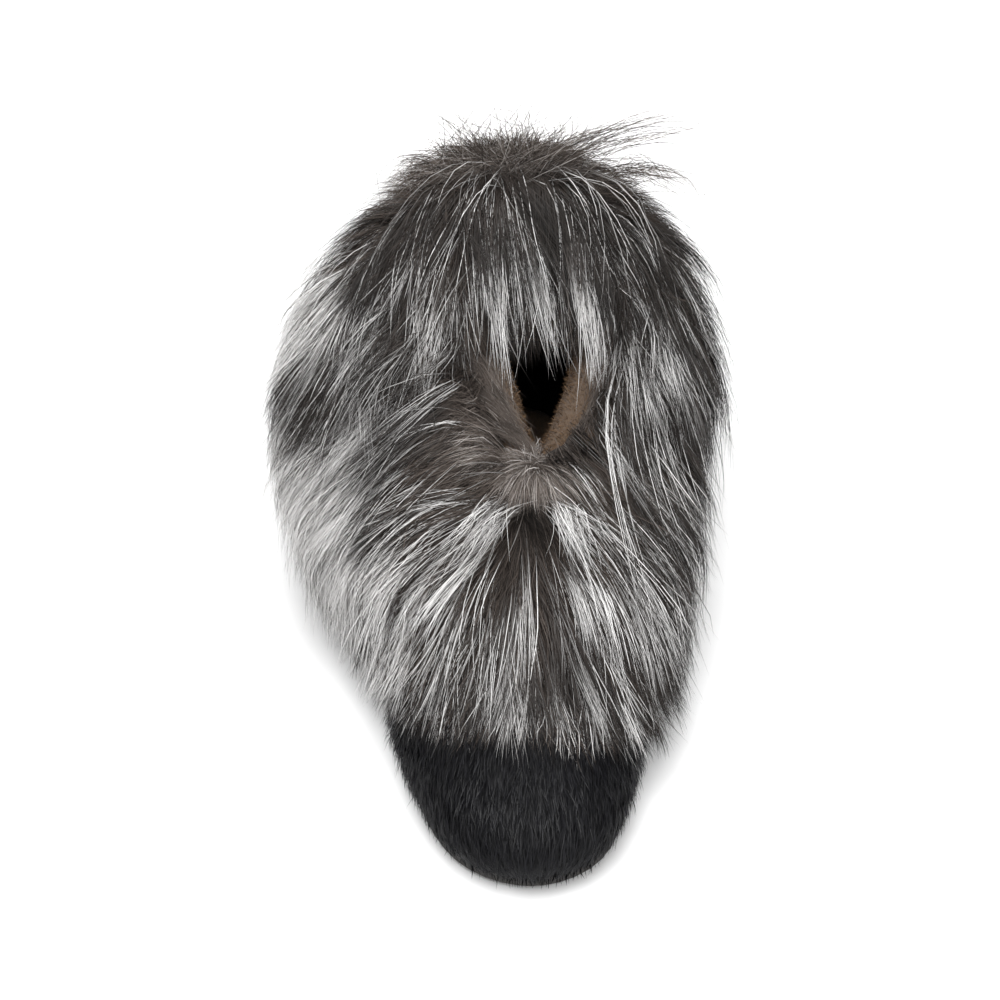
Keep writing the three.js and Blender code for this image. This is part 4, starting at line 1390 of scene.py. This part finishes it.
def wisp_paths(table, rng):
    """Lines of loose hairs, each from a start past a middle to an end."""
    s = np.linspace(0, 1, WISP_KNOTS)[None, :, None]
    strands = []
    for *line, (first, last), count in table:
        ends = []
        for middle, spread in zip(line, (first, (first + last) / 2, last)):
            scatter = rng.normal(0, 1, (count, 3)) * WISP_SCATTER * spread * MM
            ends.append((np.array(middle) * MM + ORIGIN + scatter)[:, None])
        start, by, end = ends
        end = start + (end - start) * rng.uniform(*WISP_ENDS, count)[:, None, None]
        strands.append(start * (1 - s) ** 2 + by * 2 * s * (1 - s) + end * s ** 2)
    points = np.concatenate(strands)
    points[..., 0] = np.minimum(points[..., 0], AXIS_X + WISP_REACH)
    return points


def whorl(name, spec, rng):
    """Short wool that lies outward from a whorl in every direction."""
    count = spec["hairs"]
    offset = np.clip(rng.normal(0, WHORL_SPREAD, (count, 3)), -WHORL_EDGE, WHORL_EDGE)
    stray = WHORL_STRAY * rng.normal(0, 1, (count, 3))
    lean = unit(unit(offset * (1 - UP) + stray) + spec["rise"] * UP)
    roots = np.array(spec["middle"]) * MM + ORIGIN + offset * (np.array(spec["half"]) * MM)
    roots[:, 2] -= WHORL_SLOPE * offset[:, 0] ** 2
    s = np.linspace(0, 1, WHORL_KNOTS)[None, :, None]
    size = spec["length"] * MM * rng.uniform(*WHORL_LENGTHS, count)
    size = (size * (1 - spec["cut"] * np.maximum(lean[:, 1], 0)))[:, None, None]
    points = roots[:, None] + lean[:, None] * size * s - spec["droop"] * UP * size * s ** 2
    normals = np.broadcast_to(WHORL_FACING, points.shape)
    cells = mixed_cells(rng, count, spec["tone"], spec["mix"])
    return ribbons(name, points, normals, WHORL_WIDTH * rng.uniform(*WISP_WIDTHS, count), cells, rng)


class SLIPPER_OT_stage(bpy.types.Operator):
    """Sets the floor, the light and the camera"""

    bl_idname = "slipper.stage"
    bl_label = "Stage"

    def execute(self, context):
        props = context.scene.slipper_stage
        scene = context.scene
        scene.view_settings.view_transform = "Standard"
        mesh = bpy.data.meshes.new("floor")
        corners = [(x * FLOOR_HALF, y * FLOOR_HALF, 0) for x, y in ((-1, -1), (1, -1), (1, 1), (-1, 1))]
        mesh.from_pydata(corners, [], [(0, 1, 2, 3)])
        mesh.materials.append(Finish("floor_paper", Base_Color=(*props.floor, 1), Roughness=0.9).material)
        floor = add_piece("floor", mesh)
        world = bpy.data.worlds.new("studio")
        world.use_nodes = True
        sky = world.node_tree.nodes["Background"]
        sky.inputs["Color"].default_value = (1, 1, 1, 1)
        sky.inputs["Strength"].default_value = SKY
        scene.world = world
        for name, (place, size, energy) in LIGHTS.items():
            light = bpy.data.lights.new(name, "AREA")
            light.size = size
            light.energy = energy
            lamp = add_piece(name, light)
            lamp.location = place
            lamp.rotation_euler = (LIGHT_TARGET - Vector(place)).to_track_quat("-Z", "Y").to_euler()
        look = Vector((0, math.cos(props.elevation), -math.sin(props.elevation)))
        data = bpy.data.cameras.new("camera")
        data.sensor_width = SENSOR
        data.lens = props.pixels_per_mm / MM * props.distance * SENSOR / PICTURE_SIZE
        camera = add_piece("camera", data)
        camera.location = VIEW_TARGET - look * props.distance
        camera.rotation_euler = look.to_track_quat("-Z", "Y").to_euler()
        scene.camera = camera
        return {"FINISHED"}


class SLIPPER_PT_panel(bpy.types.Panel):
    """Lists the slipper's steps"""

    bl_idname = "SLIPPER_PT_panel"
    bl_label = "Fur Slipper"
    bl_space_type = "VIEW_3D"
    bl_region_type = "UI"
    bl_category = "Slipper"

    def draw(self, context):
        for step in STEPS:
            self.layout.operator(step.bl_idname)


STEPS = (
    SLIPPER_OT_stage, SLIPPER_OT_sole, SLIPPER_OT_hide, SLIPPER_OT_lining, SLIPPER_OT_fur, SLIPPER_OT_wisps)
SETTINGS = {
    "slipper_fur": FurSettings,
    "slipper_hide": HideSettings,
    "slipper_lining": LiningSettings,
    "slipper_sole": SoleSettings,
    "slipper_stage": StageSettings,
}


def register():
    for name, group in SETTINGS.items():
        bpy.utils.register_class(group)
        setattr(bpy.types.Scene, name, bpy.props.PointerProperty(type=group))
    for step in STEPS:
        bpy.utils.register_class(step)
    bpy.utils.register_class(SLIPPER_PT_panel)


def unregister():
    bpy.utils.unregister_class(SLIPPER_PT_panel)
    for step in reversed(STEPS):
        bpy.utils.unregister_class(step)
    for name, group in SETTINGS.items():
        delattr(bpy.types.Scene, name)
        bpy.utils.unregister_class(group)


def main():
    register()
    bpy.ops.slipper.stage()
    bpy.ops.slipper.sole()
    bpy.ops.slipper.hide()
    bpy.ops.slipper.lining()
    bpy.ops.slipper.fur()
    bpy.ops.slipper.wisps()


if __name__ == "__main__":
    main()
